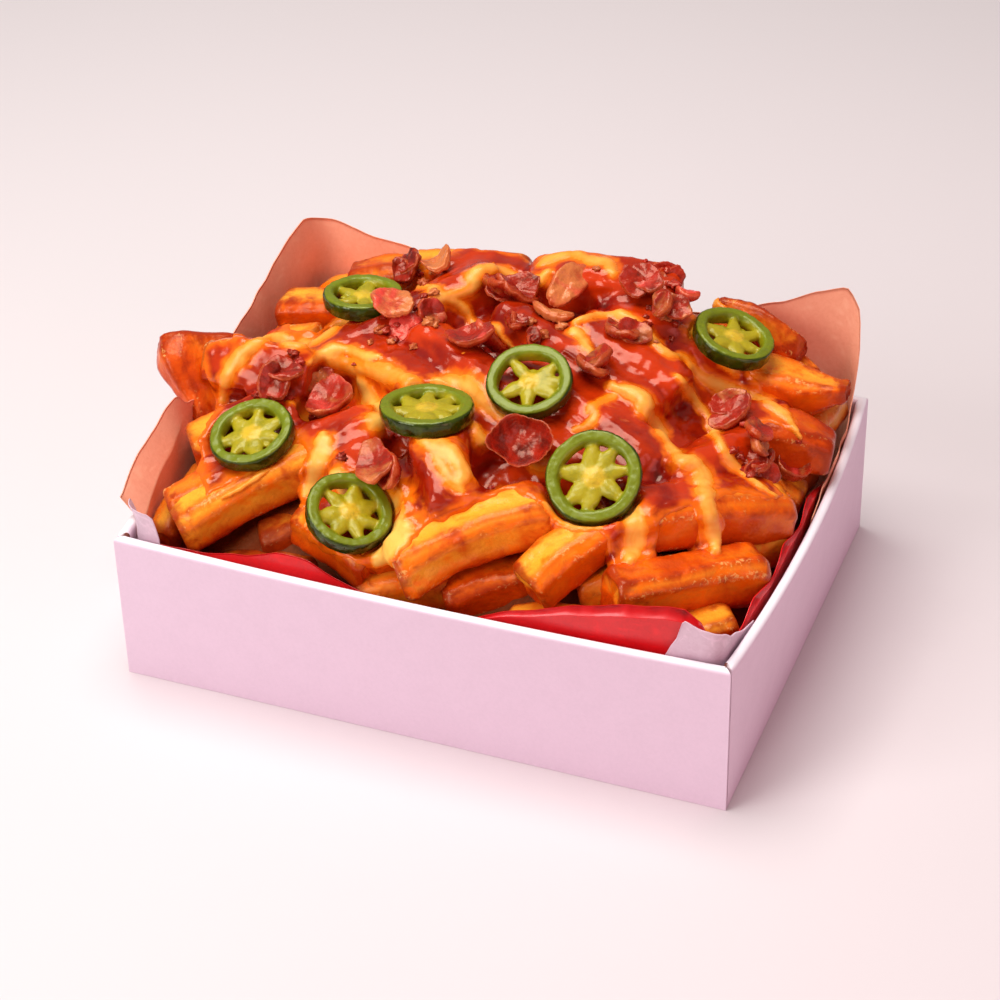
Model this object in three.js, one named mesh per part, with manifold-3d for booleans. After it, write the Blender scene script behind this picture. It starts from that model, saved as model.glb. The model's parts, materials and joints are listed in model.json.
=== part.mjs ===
// Loaded potato wedges in a low white card box, with its paper liners.
// Millimetres, +Z up. The origin is the centre of the box's underside, +X runs along
// the front wall to the right, and +Y runs from the front wall to the rear.

import * as THREE from 'three';
import { mergeVertices } from 'three/addons/utils/BufferGeometryUtils.js';
import Module from 'manifold-3d';

const wasm = await Module();
wasm.setup();

// Driving dimensions of the box
const BOX_WIDTH = 180;
const BOX_DEPTH = 140;
const BOX_HEIGHT = 47.5;
const WALL = 3;
const FLOOR = 2;
const RIM_RADIUS = WALL / 2;
const WALL_STEPS = 6;
const RIM_STEPS = 3;

// How far each card wall bulges outwards at the middle of its rim
const BULGE = { left: 3, rear: 2, right: 4.3, front: 2 };
const BULGE_POWER = 1.5;

// The open slit where a side panel meets the front panel
const SLIT_WIDTH = 0.8;
const SLIT_DEPTH = 1.2;
const SLIT_SETBACK = 0.5;

// Paper sheets: thickness, gap to what they touch, and the radius of a folded corner
const PAPER = 0.7;
const GAP = 0.3;
const CORNER_RADIUS = 7;
const LOWER_LEVELS = [0, 0.5, 1];
const UPPER_LEVELS = [0.6, 1];
const FOLD_POWER = 2.2;

// The heap: how deep the core lies under the wedges' tops, where sauce fills the gaps in the
// middle and out at its edge, and its clearance to the walls
const CORE_DEPTH = { middle: 6.5, edge: 17 };
const CORE_MARGIN = 4.5;
const CORE_TOP_AT_WALL = 34;
const CORE_STEPS = 24;
const CORE_SQUARENESS = 0.45;
const CORE_TOP_RINGS = [0.9, 0.72, 0.5, 0.25];

// Slices of green chilli pepper: thickness, and ring radii as shares of the slice's radius
const SLICE_THICKNESS = 4.8;
const SLICE_WALL = 0.74;
const SLICE_LOBES = 6;

// Bits of bacon: thickness, and how many corners an outline has
const BACON_THICKNESS = 2.4;
const BACON_CORNERS = 7;

// Strands of melted cheese: sides of a strand, distance between its rings, and how deep it may
// hang below a straight line between its neighbours
const CHEESE_SIDES = 4;
const CHEESE_STEP = 9;
const CHEESE_SAG = 2;

// Seeded random numbers, so that the heap comes out the same every time
function randomSource(seed) {
  let state = (seed * 2654435 + 12345) >>> 0;
  return () => {
    state = (state * 1664525 + 1013904223) >>> 0;
    return state / 4294967296;
  };
}

const mix = (a, b, t) => a + (b - a) * t;

// The value at x of a profile given as [position, value] pairs in rising order, eased between them
function profile(stations, x) {
  if (x <= stations[0][0]) return stations[0][1];
  for (let i = 1; i < stations.length; i++) {
    const [x1, v1] = stations[i];
    if (x <= x1) {
      const [x0, v0] = stations[i - 1];
      const t = (x - x0) / (x1 - x0);
      return mix(v0, v1, t * t * (3 - 2 * t) * 0.5 + t * 0.5);
    }
  }
  return stations[stations.length - 1][1];
}

// Closed meshes from loops of points

function geometryFrom(points, triangles) {
  let volume = 0;
  const cross = new THREE.Vector3();
  for (const [a, b, c] of triangles) {
    volume += points[a].dot(cross.crossVectors(points[b], points[c]));
  }
  const geometry = new THREE.BufferGeometry();
  const coordinates = points.flatMap((p) => [p.x, p.y, p.z]);
  geometry.setAttribute('position', new THREE.Float32BufferAttribute(coordinates, 3));
  geometry.setIndex(triangles.flatMap(([a, b, c]) => (volume < 0 ? [a, c, b] : [a, b, c])));
  return geometry;
}

// A solid through loops of equal length, with a fan of triangles over each end
function loft(rings) {
  const count = rings[0].length;
  const points = rings.flat();
  const triangles = [];
  for (let r = 0; r + 1 < rings.length; r++) {
    for (let i = 0; i < count; i++) {
      const a = r * count + i;
      const b = r * count + (i + 1) % count;
      triangles.push([a, b, b + count], [a, b + count, a + count]);
    }
  }
  const last = (rings.length - 1) * count;
  for (const [start, flip] of [[0, true], [last, false]]) {
    const centre = new THREE.Vector3();
    for (let i = 0; i < count; i++) centre.addScaledVector(points[start + i], 1 / count);
    points.push(centre);
    for (let i = 0; i < count; i++) {
      const a = start + i;
      const b = start + (i + 1) % count;
      triangles.push(flip ? [points.length - 1, b, a] : [points.length - 1, a, b]);
    }
  }
  return geometryFrom(points, triangles);
}

// A thin solid between two grids of the same size, closed round its edge
function sheet(front, back) {
  const rows = front.length;
  const columns = front[0].length;
  const points = [...front.flat(), ...back.flat()];
  const half = rows * columns;
  const triangles = [];
  for (let r = 0; r + 1 < rows; r++) {
    for (let c = 0; c + 1 < columns; c++) {
      const a = r * columns + c;
      triangles.push([a, a + 1, a + columns + 1], [a, a + columns + 1, a + columns]);
      const b = a + half;
      triangles.push([b, b + columns + 1, b + 1], [b, b + columns, b + columns + 1]);
    }
  }
  const edge = [];
  const lastRow = (rows - 1) * columns;
  for (let c = 0; c + 1 < columns; c++) edge.push([c + 1, c], [lastRow + c, lastRow + c + 1]);
  for (let r = 0; r + 1 < rows; r++) {
    edge.push([r * columns, (r + 1) * columns], [(r + 2) * columns - 1, (r + 1) * columns - 1]);
  }
  for (const [a, b] of edge) triangles.push([a, b, b + half], [a, b + half, a + half]);
  return geometryFrom(points, triangles);
}

// Joins and cuts

function toManifold(geometry) {
  const bare = geometry.clone();
  bare.deleteAttribute('normal');
  bare.deleteAttribute('uv');
  const merged = mergeVertices(bare);
  return new wasm.Manifold(new wasm.Mesh({
    numProp: 3,
    vertProperties: new Float32Array(merged.attributes.position.array),
    triVerts: new Uint32Array(merged.index.array),
  }));
}

// The largest connected body of a solid, without loose scraps or sealed hollows
function largestBody(solid) {
  const mesh = solid.getMesh();
  const owner = new Int32Array(mesh.vertProperties.length / mesh.numProp).map((_, i) => i);
  const find = (i) => {
    while (owner[i] !== i) {
      owner[i] = owner[owner[i]];
      i = owner[i];
    }
    return i;
  };
  for (let t = 0; t < mesh.triVerts.length; t += 3) {
    const root = find(mesh.triVerts[t]);
    owner[find(mesh.triVerts[t + 1])] = root;
    owner[find(mesh.triVerts[t + 2])] = root;
  }
  const groups = new Map();
  for (let t = 0; t < mesh.triVerts.length; t += 3) {
    const root = find(mesh.triVerts[t]);
    if (!groups.has(root)) groups.set(root, []);
    groups.get(root).push([mesh.triVerts[t], mesh.triVerts[t + 1], mesh.triVerts[t + 2]]);
  }
  const triangles = [...groups.values()].sort((a, b) => b.length - a.length)[0];
  const points = [];
  const renumbered = new Map();
  const place = (v) => {
    if (!renumbered.has(v)) {
      renumbered.set(v, points.length);
      points.push(new THREE.Vector3().fromArray(mesh.vertProperties, v * mesh.numProp));
    }
    return renumbered.get(v);
  };
  return geometryFrom(points, triangles.map((t) => t.map(place)));
}

// The card box

// Outward bulge of a wall at a place along it (-1 to 1) and a height
function bulge(side, along, z) {
  const lift = Math.min(Math.max(z / BOX_HEIGHT, 0), 1);
  return BULGE[side] * (1 - along * along) * lift ** BULGE_POWER;
}

// One loop round the box at a distance in from its outside and a height
function boxLoop(inset, z) {
  const a = BOX_WIDTH / 2 - inset;
  const b = BOX_DEPTH / 2 - inset;
  const loop = [];
  for (let i = 0; i < WALL_STEPS; i++) {
    const u = (2 * i) / WALL_STEPS - 1;
    loop.push(new THREE.Vector3(u * a, -b - bulge('front', u, z), z));
  }
  for (let i = 0; i < WALL_STEPS; i++) {
    const u = (2 * i) / WALL_STEPS - 1;
    loop.push(new THREE.Vector3(a + bulge('right', u, z), u * b, z));
  }
  for (let i = 0; i < WALL_STEPS; i++) {
    const u = 1 - (2 * i) / WALL_STEPS;
    loop.push(new THREE.Vector3(u * a, b + bulge('rear', u, z), z));
  }
  for (let i = 0; i < WALL_STEPS; i++) {
    const u = 1 - (2 * i) / WALL_STEPS;
    loop.push(new THREE.Vector3(-a - bulge('left', u, z), u * b, z));
  }
  return loop;
}

function cardBox() {
  const rings = [boxLoop(0, 0), boxLoop(0, BOX_HEIGHT * 0.5)];
  for (let i = 0; i <= RIM_STEPS; i++) {
    const turn = (Math.PI * i) / RIM_STEPS;
    const inset = RIM_RADIUS * (1 - Math.cos(turn));
    rings.push(boxLoop(inset, BOX_HEIGHT - RIM_RADIUS * (1 - Math.sin(turn))));
  }
  rings.push(boxLoop(WALL, BOX_HEIGHT * 0.5), boxLoop(WALL, FLOOR));
  let solid = toManifold(loft(rings));
  for (const side of [-1, 1]) {
    const slit = new THREE.BoxGeometry(2 * SLIT_DEPTH, SLIT_WIDTH, 2 * BOX_HEIGHT);
    slit.translate(side * BOX_WIDTH / 2, -BOX_DEPTH / 2 + SLIT_SETBACK + SLIT_WIDTH / 2, BOX_HEIGHT);
    solid = solid.subtract(toManifold(slit));
  }
  return largestBody(solid);
}

// Paper that lines the walls

// The walls in clockwise order, seen from above, starting at the front left corner
const WALLS = [
  { side: 'left', from: [-1, -1], to: [-1, 1], out: [-1, 0] },
  { side: 'rear', from: [-1, 1], to: [1, 1], out: [0, 1] },
  { side: 'right', from: [1, 1], to: [1, -1], out: [1, 0] },
  { side: 'front', from: [1, -1], to: [-1, -1], out: [0, -1] },
];
const CAVITY = { x: BOX_WIDTH / 2 - WALL, y: BOX_DEPTH / 2 - WALL };
const WALL_LENGTHS = [2 * CAVITY.y, 2 * CAVITY.x, 2 * CAVITY.y, 2 * CAVITY.x];
const ROUND_TRIP = 4 * (CAVITY.x + CAVITY.y);

// Distance round the cavity from the front left corner: clockwise over the rear wall
const overRear = {
  left: (y) => CAVITY.y + y,
  rear: (x) => 2 * CAVITY.y + CAVITY.x + x,
  right: (y) => 2 * CAVITY.y + 2 * CAVITY.x + CAVITY.y - y,
};

// The same, counted backwards over the front wall
const overFront = {
  left: (y) => CAVITY.y + y,
  front: (x) => -CAVITY.x - x,
  right: (y) => -2 * CAVITY.x - CAVITY.y - y,
};

// A point of the cavity's wall, its outward direction and its bulge, at a distance round it
function cavityWall(around, z) {
  let rest = ((around % ROUND_TRIP) + ROUND_TRIP) % ROUND_TRIP;
  let index = 0;
  while (rest > WALL_LENGTHS[index]) {
    rest -= WALL_LENGTHS[index];
    index = (index + 1) % 4;
  }
  const onWall = (wallIndex, distance) => {
    const wall = WALLS[wallIndex % 4];
    const t = distance / WALL_LENGTHS[wallIndex % 4];
    return {
      point: new THREE.Vector2(
        mix(wall.from[0], wall.to[0], t) * CAVITY.x,
        mix(wall.from[1], wall.to[1], t) * CAVITY.y,
      ),
      out: new THREE.Vector2(...wall.out),
      bulge: bulge(wall.side, 2 * t - 1, z),
    };
  };
  const here = onWall(index, rest);
  const length = WALL_LENGTHS[index];
  const toCorner = Math.min(rest, length - rest);
  if (toCorner >= CORNER_RADIUS) return here;
  const atEnd = rest > length / 2;
  const previous = (index + 3) % 4;
  const before = atEnd
    ? onWall(index, length - CORNER_RADIUS)
    : onWall(previous, WALL_LENGTHS[previous] - CORNER_RADIUS);
  const after = atEnd ? onWall(index + 1, CORNER_RADIUS) : onWall(index, CORNER_RADIUS);
  const corner = onWall(index, atEnd ? length : 0).point;
  const t = (atEnd ? CORNER_RADIUS - toCorner : CORNER_RADIUS + toCorner) / (2 * CORNER_RADIUS);
  const point = before.point.clone().multiplyScalar((1 - t) ** 2)
    .addScaledVector(corner, 2 * t * (1 - t))
    .addScaledVector(after.point, t * t);
  const out = before.out.clone().multiplyScalar(1 - t).addScaledVector(after.out, t).normalize();
  return { point, out, bulge: mix(before.bulge, after.bulge, t) };
}

// Distances round the cavity at which a sheet has a column of points. Sheets share them, apart
// from their own ends, so that one in front of another keeps clear of it
function columnsBetween(first, last, step) {
  const shared = [];
  let corner = Math.floor(first / ROUND_TRIP) * ROUND_TRIP;
  for (let index = 0; corner <= last; index = (index + 1) % 4) {
    const straight = WALL_LENGTHS[index] - 2 * CORNER_RADIUS;
    const parts = Math.round(straight / step);
    shared.push(corner, corner + CORNER_RADIUS / 2);
    for (let i = 0; i <= parts; i++) shared.push(corner + CORNER_RADIUS + (straight * i) / parts);
    shared.push(corner + WALL_LENGTHS[index] - CORNER_RADIUS / 2);
    corner += WALL_LENGTHS[index];
  }
  const inside = shared.filter((s) => s > first + step / 4 && s < last - step / 4);
  return [first, ...inside, last];
}

// A paper sheet that stands against the walls. Each station of its top edge is
// [distance round the cavity, height, lean outwards over the rim]
function liner(top, { inset, bottom, step, grow = 0 }) {
  const sorted = [...top].sort((a, b) => a[0] - b[0]);
  const heights = sorted.map(([s, z]) => [s, z]);
  const leans = sorted.map(([s, , lean]) => [s, lean]);
  const columns = columnsBetween(sorted[0][0] - grow, sorted[sorted.length - 1][0] + grow, step);
  const grids = [[], []];
  for (const face of [0, 1]) {
    const depth = inset + (face === 0 ? -grow : PAPER + grow);
    for (const around of columns) {
      const topZ = profile(heights, around) + grow;
      const lean = profile(leans, around);
      const column = [];
      const knee = Math.min(BOX_HEIGHT, mix(bottom, topZ, 0.75));
      const zs = [...LOWER_LEVELS.map((v) => mix(bottom - grow, knee, v))];
      zs.push(...UPPER_LEVELS.map((v) => mix(knee, topZ, v)));
      for (const z of zs) {
        const wall = cavityWall(around, z);
        const over = Math.max(0, (z - knee) / Math.max(topZ - knee, 0.01));
        const out = wall.bulge - depth + lean * over ** FOLD_POWER;
        column.push(new THREE.Vector3(wall.point.x + wall.out.x * out, wall.point.y + wall.out.y * out, z));
      }
      grids[face].push(column);
    }
  }
  return sheet(grids[0], grids[1]);
}

// Brown paper on the left, rear and right walls
const KRAFT_TOP = [
  [overRear.left(-59.5), 56, 4.5],
  [overRear.left(-51), 59, 5],
  [overRear.left(-37), 62.5, 4.5],
  [overRear.left(-30), 65.5, 3.5],
  [overRear.left(-25), 68, 2],
  [overRear.left(-20), 60, 1],
  [overRear.left(-2), 57, 0],
  [overRear.left(8), 66, 1],
  [overRear.left(20), 67.5, 2],
  [overRear.left(34), 71, 2.5],
  [overRear.left(50), 76, 3],
  [overRear.left(62), 79, 3],
  [overRear.rear(-84), 77, 3],
  [overRear.rear(-64), 73, 2],
  [overRear.rear(-50), 71, 1],
  [overRear.rear(-25), 66, 1],
  [overRear.rear(5), 63, 1],
  [overRear.rear(40), 67, 1],
  [overRear.rear(62), 76, 1],
  [overRear.rear(74), 82, 1],
  [overRear.rear(82), 85, 1],
  [overRear.right(66), 79, 2],
  [overRear.right(63), 66, 2],
  [overRear.right(59), 52, 1],
  [overRear.right(50), 48.6, 0.4],
  [overRear.right(20), 48.6, 0.4],
  [overRear.right(6), 46, 0],
];

// Red paper on the front wall and part of the side walls
const RED_TOP = [
  [overFront.left(-24), 42, 0],
  [overFront.left(-40), 46, -1],
  [overFront.left(-58), 44, 0],
  [overFront.front(-83), 45, -0.5],
  [overFront.front(-66), 45, -1],
  [overFront.front(-53), 47, -1.5],
  [overFront.front(-42), 50, -2],
  [overFront.front(-34), 50, -2],
  [overFront.front(-24), 46.5, -1],
  [overFront.front(-10), 43, 0],
  [overFront.front(12), 43, 0],
  [overFront.front(30), 49, -2],
  [overFront.front(45), 53, -3.5],
  [overFront.front(60), 56, -4.5],
  [overFront.front(74), 57.5, -4.5],
  [overFront.front(80), 55, -3],
  [overFront.front(84), 44, 0],
  [overFront.right(-60), 43, 0],
  [overFront.right(-48), 46, -0.5],
  [overFront.right(-38), 48.5, -1.5],
  [overFront.right(-24), 46.5, -0.5],
  [overFront.right(-12), 49, -1.5],
  [overFront.right(0), 46.5, -0.5],
  [overFront.right(12), 48.5, -1.5],
  [overFront.right(26), 45, 0],
];

// White paper corners that stand up at the front left and the front right
const LEFT_FLAP_TOP = [
  [overFront.left(-61), 55.5, 2],
  [overFront.front(-85), 55.5, 1],
  [overFront.front(-79.5), 54, 0],
  [overFront.front(-77.5), 48, 0],
];
const RIGHT_FLAP_TOP = [
  [overFront.front(70), 44, 0],
  [overFront.front(73.5), 51, 0],
  [overFront.front(76), 59, 0.5],
  [overFront.front(81), 57, 0.5],
  [overFront.right(-65), 55, 0.5],
  [overFront.right(-58), 50.5, 0],
  [overFront.right(-50), 47, 0],
  [overFront.right(-44), 45.5, 0],
];

const KRAFT_INSET = 2 * GAP;
const RED_INSET = KRAFT_INSET + PAPER + GAP;
const FLAP_INSET = 2 * GAP;
const SHEET_BOTTOM = FLOOR + GAP;
const FLAP_BOTTOM = 36;
const SHEET_STEP = 12;
const FLAP_STEP = 4;

const kraftLiner = (grow) => liner(KRAFT_TOP, { inset: KRAFT_INSET, bottom: SHEET_BOTTOM, step: SHEET_STEP, grow });
const redLiner = (grow) => liner(RED_TOP, { inset: RED_INSET, bottom: SHEET_BOTTOM, step: SHEET_STEP, grow });
const flapLeft = (grow) => liner(LEFT_FLAP_TOP, { inset: FLAP_INSET, bottom: FLAP_BOTTOM, step: FLAP_STEP, grow });
const flapRight = (grow) => liner(RIGHT_FLAP_TOP, { inset: FLAP_INSET, bottom: FLAP_BOTTOM, step: FLAP_STEP, grow });

// The heap of wedges

// Height of the wedges' tops over the box, from the front (y = -64) to the rear (y = 66)
const CREST = [[-64, 56], [-40, 67], [-20, 74], [0, 80], [30, 86], [52, 90], [66, 66]];
const LEFT_SHOULDER = [[-64, 50], [-40, 60], [-10, 74], [12, 72], [30, 69], [52, 67], [66, 56]];
const RIGHT_SHOULDER = [[-64, 48], [-40, 52], [-10, 57], [20, 60], [40, 65], [54, 66], [66, 56]];
const CREST_X = 4;
const SHOULDER_X = 84;
const DOME_POWER = 1.9;

function domeHeight(x, y) {
  const u = Math.min(1, Math.abs(x - CREST_X) / SHOULDER_X);
  const shoulder = profile(x < CREST_X ? LEFT_SHOULDER : RIGHT_SHOULDER, y);
  return mix(shoulder, profile(CREST, y), 1 - u ** DOME_POWER);
}

// Sections across a wedge, as [across, up] points from -1 to 1
const BATON = [
  [1, -0.62], [1, 0.6], [0.66, 1], [-0.6, 1], [-1, 0.62], [-1, -0.66], [-0.62, -1], [0.64, -1],
];
const RIDGED = [
  [1, -0.55], [0.86, -0.1], [0.2, 0.9], [-0.12, 1], [-0.9, -0.1], [-1, -0.6], [-0.5, -0.95], [0.5, -0.95],
];
const WEDGE_STATIONS = [0, 0.07, 0.36, 0.66, 0.93, 1];
const END_SLIMMING = 0.72;
const ROUGHNESS = { slimmest: 0.93, widest: 1.07, turn: 12, sway: 1.6, corner: 0.9 };

// One wedge between the centres of its two ends. Roll is in degrees, bow is the rise of its
// middle, and cut slants its two end faces
function wedge(spec) {
  const { from, to, width, height, seed, roll = 0, bow = 1.5, cut = [0, 0], section = BATON } = spec;
  const random = randomSource(seed);
  const start = new THREE.Vector3(...from);
  const end = new THREE.Vector3(...to);
  const along = end.clone().sub(start).normalize();
  const across = new THREE.Vector3(0, 0, 1).cross(along).normalize();
  const up = along.clone().cross(across);
  const rings = WEDGE_STATIONS.map((t, index) => {
    const isEnd = index === 0 || index === WEDGE_STATIONS.length - 1;
    const slim = isEnd ? END_SLIMMING : mix(ROUGHNESS.slimmest, ROUGHNESS.widest, random());
    const turn = THREE.MathUtils.degToRad(roll + (random() - 0.5) * ROUGHNESS.turn);
    const sway = (random() - 0.5) * ROUGHNESS.sway;
    const centre = start.clone().lerp(end, t)
      .addScaledVector(up, bow * 4 * t * (1 - t))
      .addScaledVector(across, sway);
    return section.map(([a, b]) => {
      const x = (a * width * slim) / 2 + (random() - 0.5) * ROUGHNESS.corner;
      const y = (b * height * slim) / 2 + (random() - 0.5) * ROUGHNESS.corner;
      const endCut = t < 0.5 ? cut[0] * (1 - 2 * t) : cut[1] * (2 * t - 1);
      return centre.clone()
        .addScaledVector(across, x * Math.cos(turn) - y * Math.sin(turn))
        .addScaledVector(up, x * Math.sin(turn) + y * Math.cos(turn))
        .addScaledVector(along, a * endCut);
    });
  });
  return loft(rings);
}

// The wedges that show at the edge of the heap, by the centres of their two ends
const SHOWN_WEDGES = [
  { from: [-73, -57, 46], to: [-30, -17, 64], width: 16, height: 15, bow: 2, seed: 11 },
  { from: [-80, -54, 48], to: [-60, -37, 55], width: 13, height: 12, seed: 12 },
  { from: [-42, -45, 49], to: [-15, -58, 46], width: 14, height: 13, seed: 13 },
  { from: [-8, -61, 49], to: [28, -35, 61], width: 16, height: 15, bow: 3, seed: 14 },
  { from: [4, -57, 40], to: [30, -42, 45], width: 14, height: 13, seed: 15 },
  { from: [29, -56, 49], to: [46, -34, 61], width: 15, height: 14, seed: 16 },
  { from: [51, -54, 51], to: [84, -23, 45], width: 15, height: 15, bow: 1, seed: 17 },
  { from: [50, -33, 61], to: [84, 0, 50], width: 17, height: 16, bow: 1.5, seed: 18 },
  { from: [60, 14, 50], to: [85, 16, 43], width: 13, height: 12, seed: 19 },
  { from: [60, 21, 61], to: [84, 33, 53], width: 17, height: 18, section: RIDGED, seed: 20 },
  { from: [52, 43, 63], to: [84, 45, 61], width: 18, height: 16, bow: -1, seed: 21 },
  { from: [44, 60, 72], to: [72, 57, 68], width: 14, height: 15, section: RIDGED, seed: 22 },
  { from: [64, 61, 60], to: [76, 52, 60], width: 10, height: 8, seed: 23 },
  { from: [66, -54, 37], to: [83, -42, 41], width: 12, height: 10, seed: 24 },
  { from: [-99, -11, 71], to: [-56, -6, 71], width: 24, height: 17, cut: [-6, 0], section: RIDGED, seed: 25 },
  { from: [-81, -36, 57], to: [-56, -18, 63], width: 15, height: 14, seed: 26 },
  { from: [-82, 30, 65], to: [-50, 30, 70], width: 14, height: 12, seed: 27 },
  { from: [-67, 48, 68], to: [-36, 54, 73], width: 14, height: 13, seed: 28 },
  { from: [-49, 50, 74], to: [-12, 55, 77], width: 13, height: 11, seed: 29 },
  { from: [3, -44, 61], to: [-11, -24, 68], width: 15, height: 13, seed: 30 },
  { from: [-8, 47, 80], to: [36, 53, 81], width: 15, height: 14, bow: 2, seed: 31 },
  { from: [20, 37, 78], to: [58, 43, 66], width: 15, height: 14, bow: 2, seed: 32 },
  { from: [-80, 13, 62], to: [-62, 15, 68], width: 10, height: 8, seed: 33 },
];

// The other wedges are drawn at random over the dome, each clear of the ones before it:
// long ones first, then short ones in the gaps
const FILL_SEED = 404;
const FILL_REACH = { x: 82, y: 61 };
const FILL_STEEPEST = 14;
const FILL_MIDDLE_X = 74;
const FILL_HEIGHTS = [12.5, 15.5];
const FILL_WIDTHS = [13, 16.5];
const FILL_ROLL = 25;
const FILL_BOW = 3.5;
const FILL_ROUNDS = [
  { tries: 300, half: [22, 28], y: [57, 60], turn: 0.25, spacing: 12 },
  { tries: 1500, half: [24, 31], y: [-46, 56], turn: 1.15, spacing: 10.5 },
  { tries: 2500, half: [15, 22], y: [-46, 58], turn: 1.15, spacing: 11 },
];

function centreline(spec) {
  const start = new THREE.Vector3(...spec.from);
  const end = new THREE.Vector3(...spec.to);
  return [0.1, 0.3, 0.5, 0.7, 0.9].map((t) => start.clone().lerp(end, t));
}

const tooClose = (line, other, spacing) => other.some((p) => line.some((q) => p.distanceTo(q) < spacing));
const outOfReach = ([x, y]) => Math.abs(x) > FILL_REACH.x || Math.abs(y) > FILL_REACH.y;

function fillWedges(shown) {
  const random = randomSource(FILL_SEED);
  const placed = shown.map(centreline);
  const found = [];
  const draw = (round) => {
    const x = mix(-FILL_MIDDLE_X, FILL_MIDDLE_X, random());
    const y = mix(...round.y, random());
    const angle = mix(-1, 1, random()) * round.turn;
    const half = mix(...round.half, random());
    const height = mix(...FILL_HEIGHTS, random());
    const width = mix(...FILL_WIDTHS, random());
    const sunk = height / 2 + 1;
    const ends = [-half, half].map((reach) => {
      const ex = x + Math.cos(angle) * reach;
      const ey = y + Math.sin(angle) * reach;
      return [ex, ey, domeHeight(ex, ey) - sunk];
    });
    const sag = domeHeight(x, y) - sunk - (ends[0][2] + ends[1][2]) / 2;
    const bow = THREE.MathUtils.clamp(sag, 0, FILL_BOW);
    const roll = mix(-FILL_ROLL, FILL_ROLL, random());
    return { from: ends[0], to: ends[1], width, height, bow, roll, seed: 100 + found.length };
  };
  for (const round of FILL_ROUNDS) {
    for (let i = 0; i < round.tries; i++) {
      const spec = draw(round);
      if (outOfReach(spec.from) || outOfReach(spec.to)) continue;
      if (Math.abs(spec.from[2] - spec.to[2]) > FILL_STEEPEST) continue;
      const line = centreline(spec);
      if (placed.some((other) => tooClose(line, other, round.spacing))) continue;
      placed.push(line);
      found.push(spec);
    }
  }
  return found;
}

// The middle of the heap, which carries the wedges
function coreHeight(x, y) {
  const out = Math.min(1, Math.max(Math.abs(x - CREST_X) / SHOULDER_X, Math.abs(y) / CAVITY.y));
  const depth = mix(CORE_DEPTH.middle, CORE_DEPTH.edge, out ** 3);
  return Math.max(CORE_TOP_AT_WALL, domeHeight(x, y) - depth);
}

// A rounded rectangle, by the power that squares it off, at shares of the core's reach
function heapCore() {
  const ring = (scale, z) => {
    const loop = [];
    for (let i = 0; i < CORE_STEPS; i++) {
      const turn = (2 * Math.PI * (i + 0.5)) / CORE_STEPS;
      const c = Math.cos(turn);
      const s = Math.sin(turn);
      const x = Math.sign(c) * Math.abs(c) ** CORE_SQUARENESS * (CAVITY.x - CORE_MARGIN) * scale;
      const y = Math.sign(s) * Math.abs(s) ** CORE_SQUARENESS * (CAVITY.y - CORE_MARGIN) * scale;
      loop.push(new THREE.Vector3(x, y, z ?? coreHeight(x, y)));
    }
    return loop;
  };
  const base = SHEET_BOTTOM + GAP;
  const side = [ring(0.95, base), ring(0.99, base + 4), ring(1, CORE_TOP_AT_WALL)];
  return loft([...side, ...CORE_TOP_RINGS.map((share) => ring(share))]);
}

const HEAP_PIECES = [...SHOWN_WEDGES, ...fillWedges(SHOWN_WEDGES)];

// Height of the highest surface under a point, found by a ray from above
const skyRay = new THREE.Raycaster();
const DOWN = new THREE.Vector3(0, 0, -1);
const SKY = 200;

function heightOver(meshes, x, y) {
  skyRay.set(new THREE.Vector3(x, y, SKY), DOWN);
  const hit = skyRay.intersectObjects(meshes, false)[0];
  return hit ? hit.point.z : SHEET_BOTTOM;
}

const bothSides = new THREE.MeshStandardMaterial({ side: THREE.DoubleSide });
const asMesh = (geometry) => new THREE.Mesh(geometry, bothSides);

// Strands of melted cheese that lie over the wedges, by points of their paths seen from above
const CHEESE_STRANDS = [
  { path: [[-76, -19], [-72, -6], [-64, 2], [-54, 8], [-46, 18]], width: 7 },
  { path: [[-60, -4], [-49, 2], [-38, -5], [-28, -14]], width: 6 },
  { path: [[-31, -40], [-22, -47], [-11, -52], [-6, -59]], width: 8 },
  { path: [[-8, -20], [-5, -33], [-1, -42], [3, -46]], width: 9 },
  { path: [[33, 6], [41, -1], [50, -9], [59, -17], [68, -27], [72, -33]], width: 6 },
  { path: [[16, 29], [31, 29], [46, 28], [60, 30], [78, 22]], width: 7 },
  { path: [[51, -33], [52, -42], [51, -50]], width: 6 },
  { path: [[-22, 38], [-8, 37], [6, 46], [18, 52]], width: 8 },
];

function cheeseStrand({ path, width }, wedgeMesh) {
  const curve = new THREE.CatmullRomCurve3(path.map(([x, y]) => new THREE.Vector3(x, y, 0)));
  const steps = Math.max(3, Math.round(curve.getLength() / CHEESE_STEP));
  const points = curve.getSpacedPoints(steps);
  for (const point of points) point.z = heightOver([wedgeMesh], point.x, point.y);
  for (let i = 1; i < steps; i++) {
    points[i].z = Math.max(points[i].z, (points[i - 1].z + points[i + 1].z) / 2 - CHEESE_SAG);
  }
  const rings = points.map((point, i) => {
    const along = points[Math.min(i + 1, steps)].clone().sub(points[Math.max(i - 1, 0)]).normalize();
    const across = new THREE.Vector3(0, 0, 1).cross(along).normalize();
    const up = along.clone().cross(across);
    const slim = i === 0 || i === steps ? 0.5 : 1;
    const ring = [];
    for (let k = 0; k < CHEESE_SIDES; k++) {
      const turn = (2 * Math.PI * (k + 0.5)) / CHEESE_SIDES;
      ring.push(point.clone()
        .addScaledVector(across, Math.cos(turn) * width * 0.5 * slim)
        .addScaledVector(up, Math.sin(turn) * width * 0.28 * slim));
    }
    return ring;
  });
  return loft(rings);
}

// The fused wedges, and the same with the cheese strands on them
function bareHeap() {
  let solid = toManifold(heapCore());
  for (const spec of HEAP_PIECES) solid = solid.add(toManifold(wedge(spec)));
  return solid;
}

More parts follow.
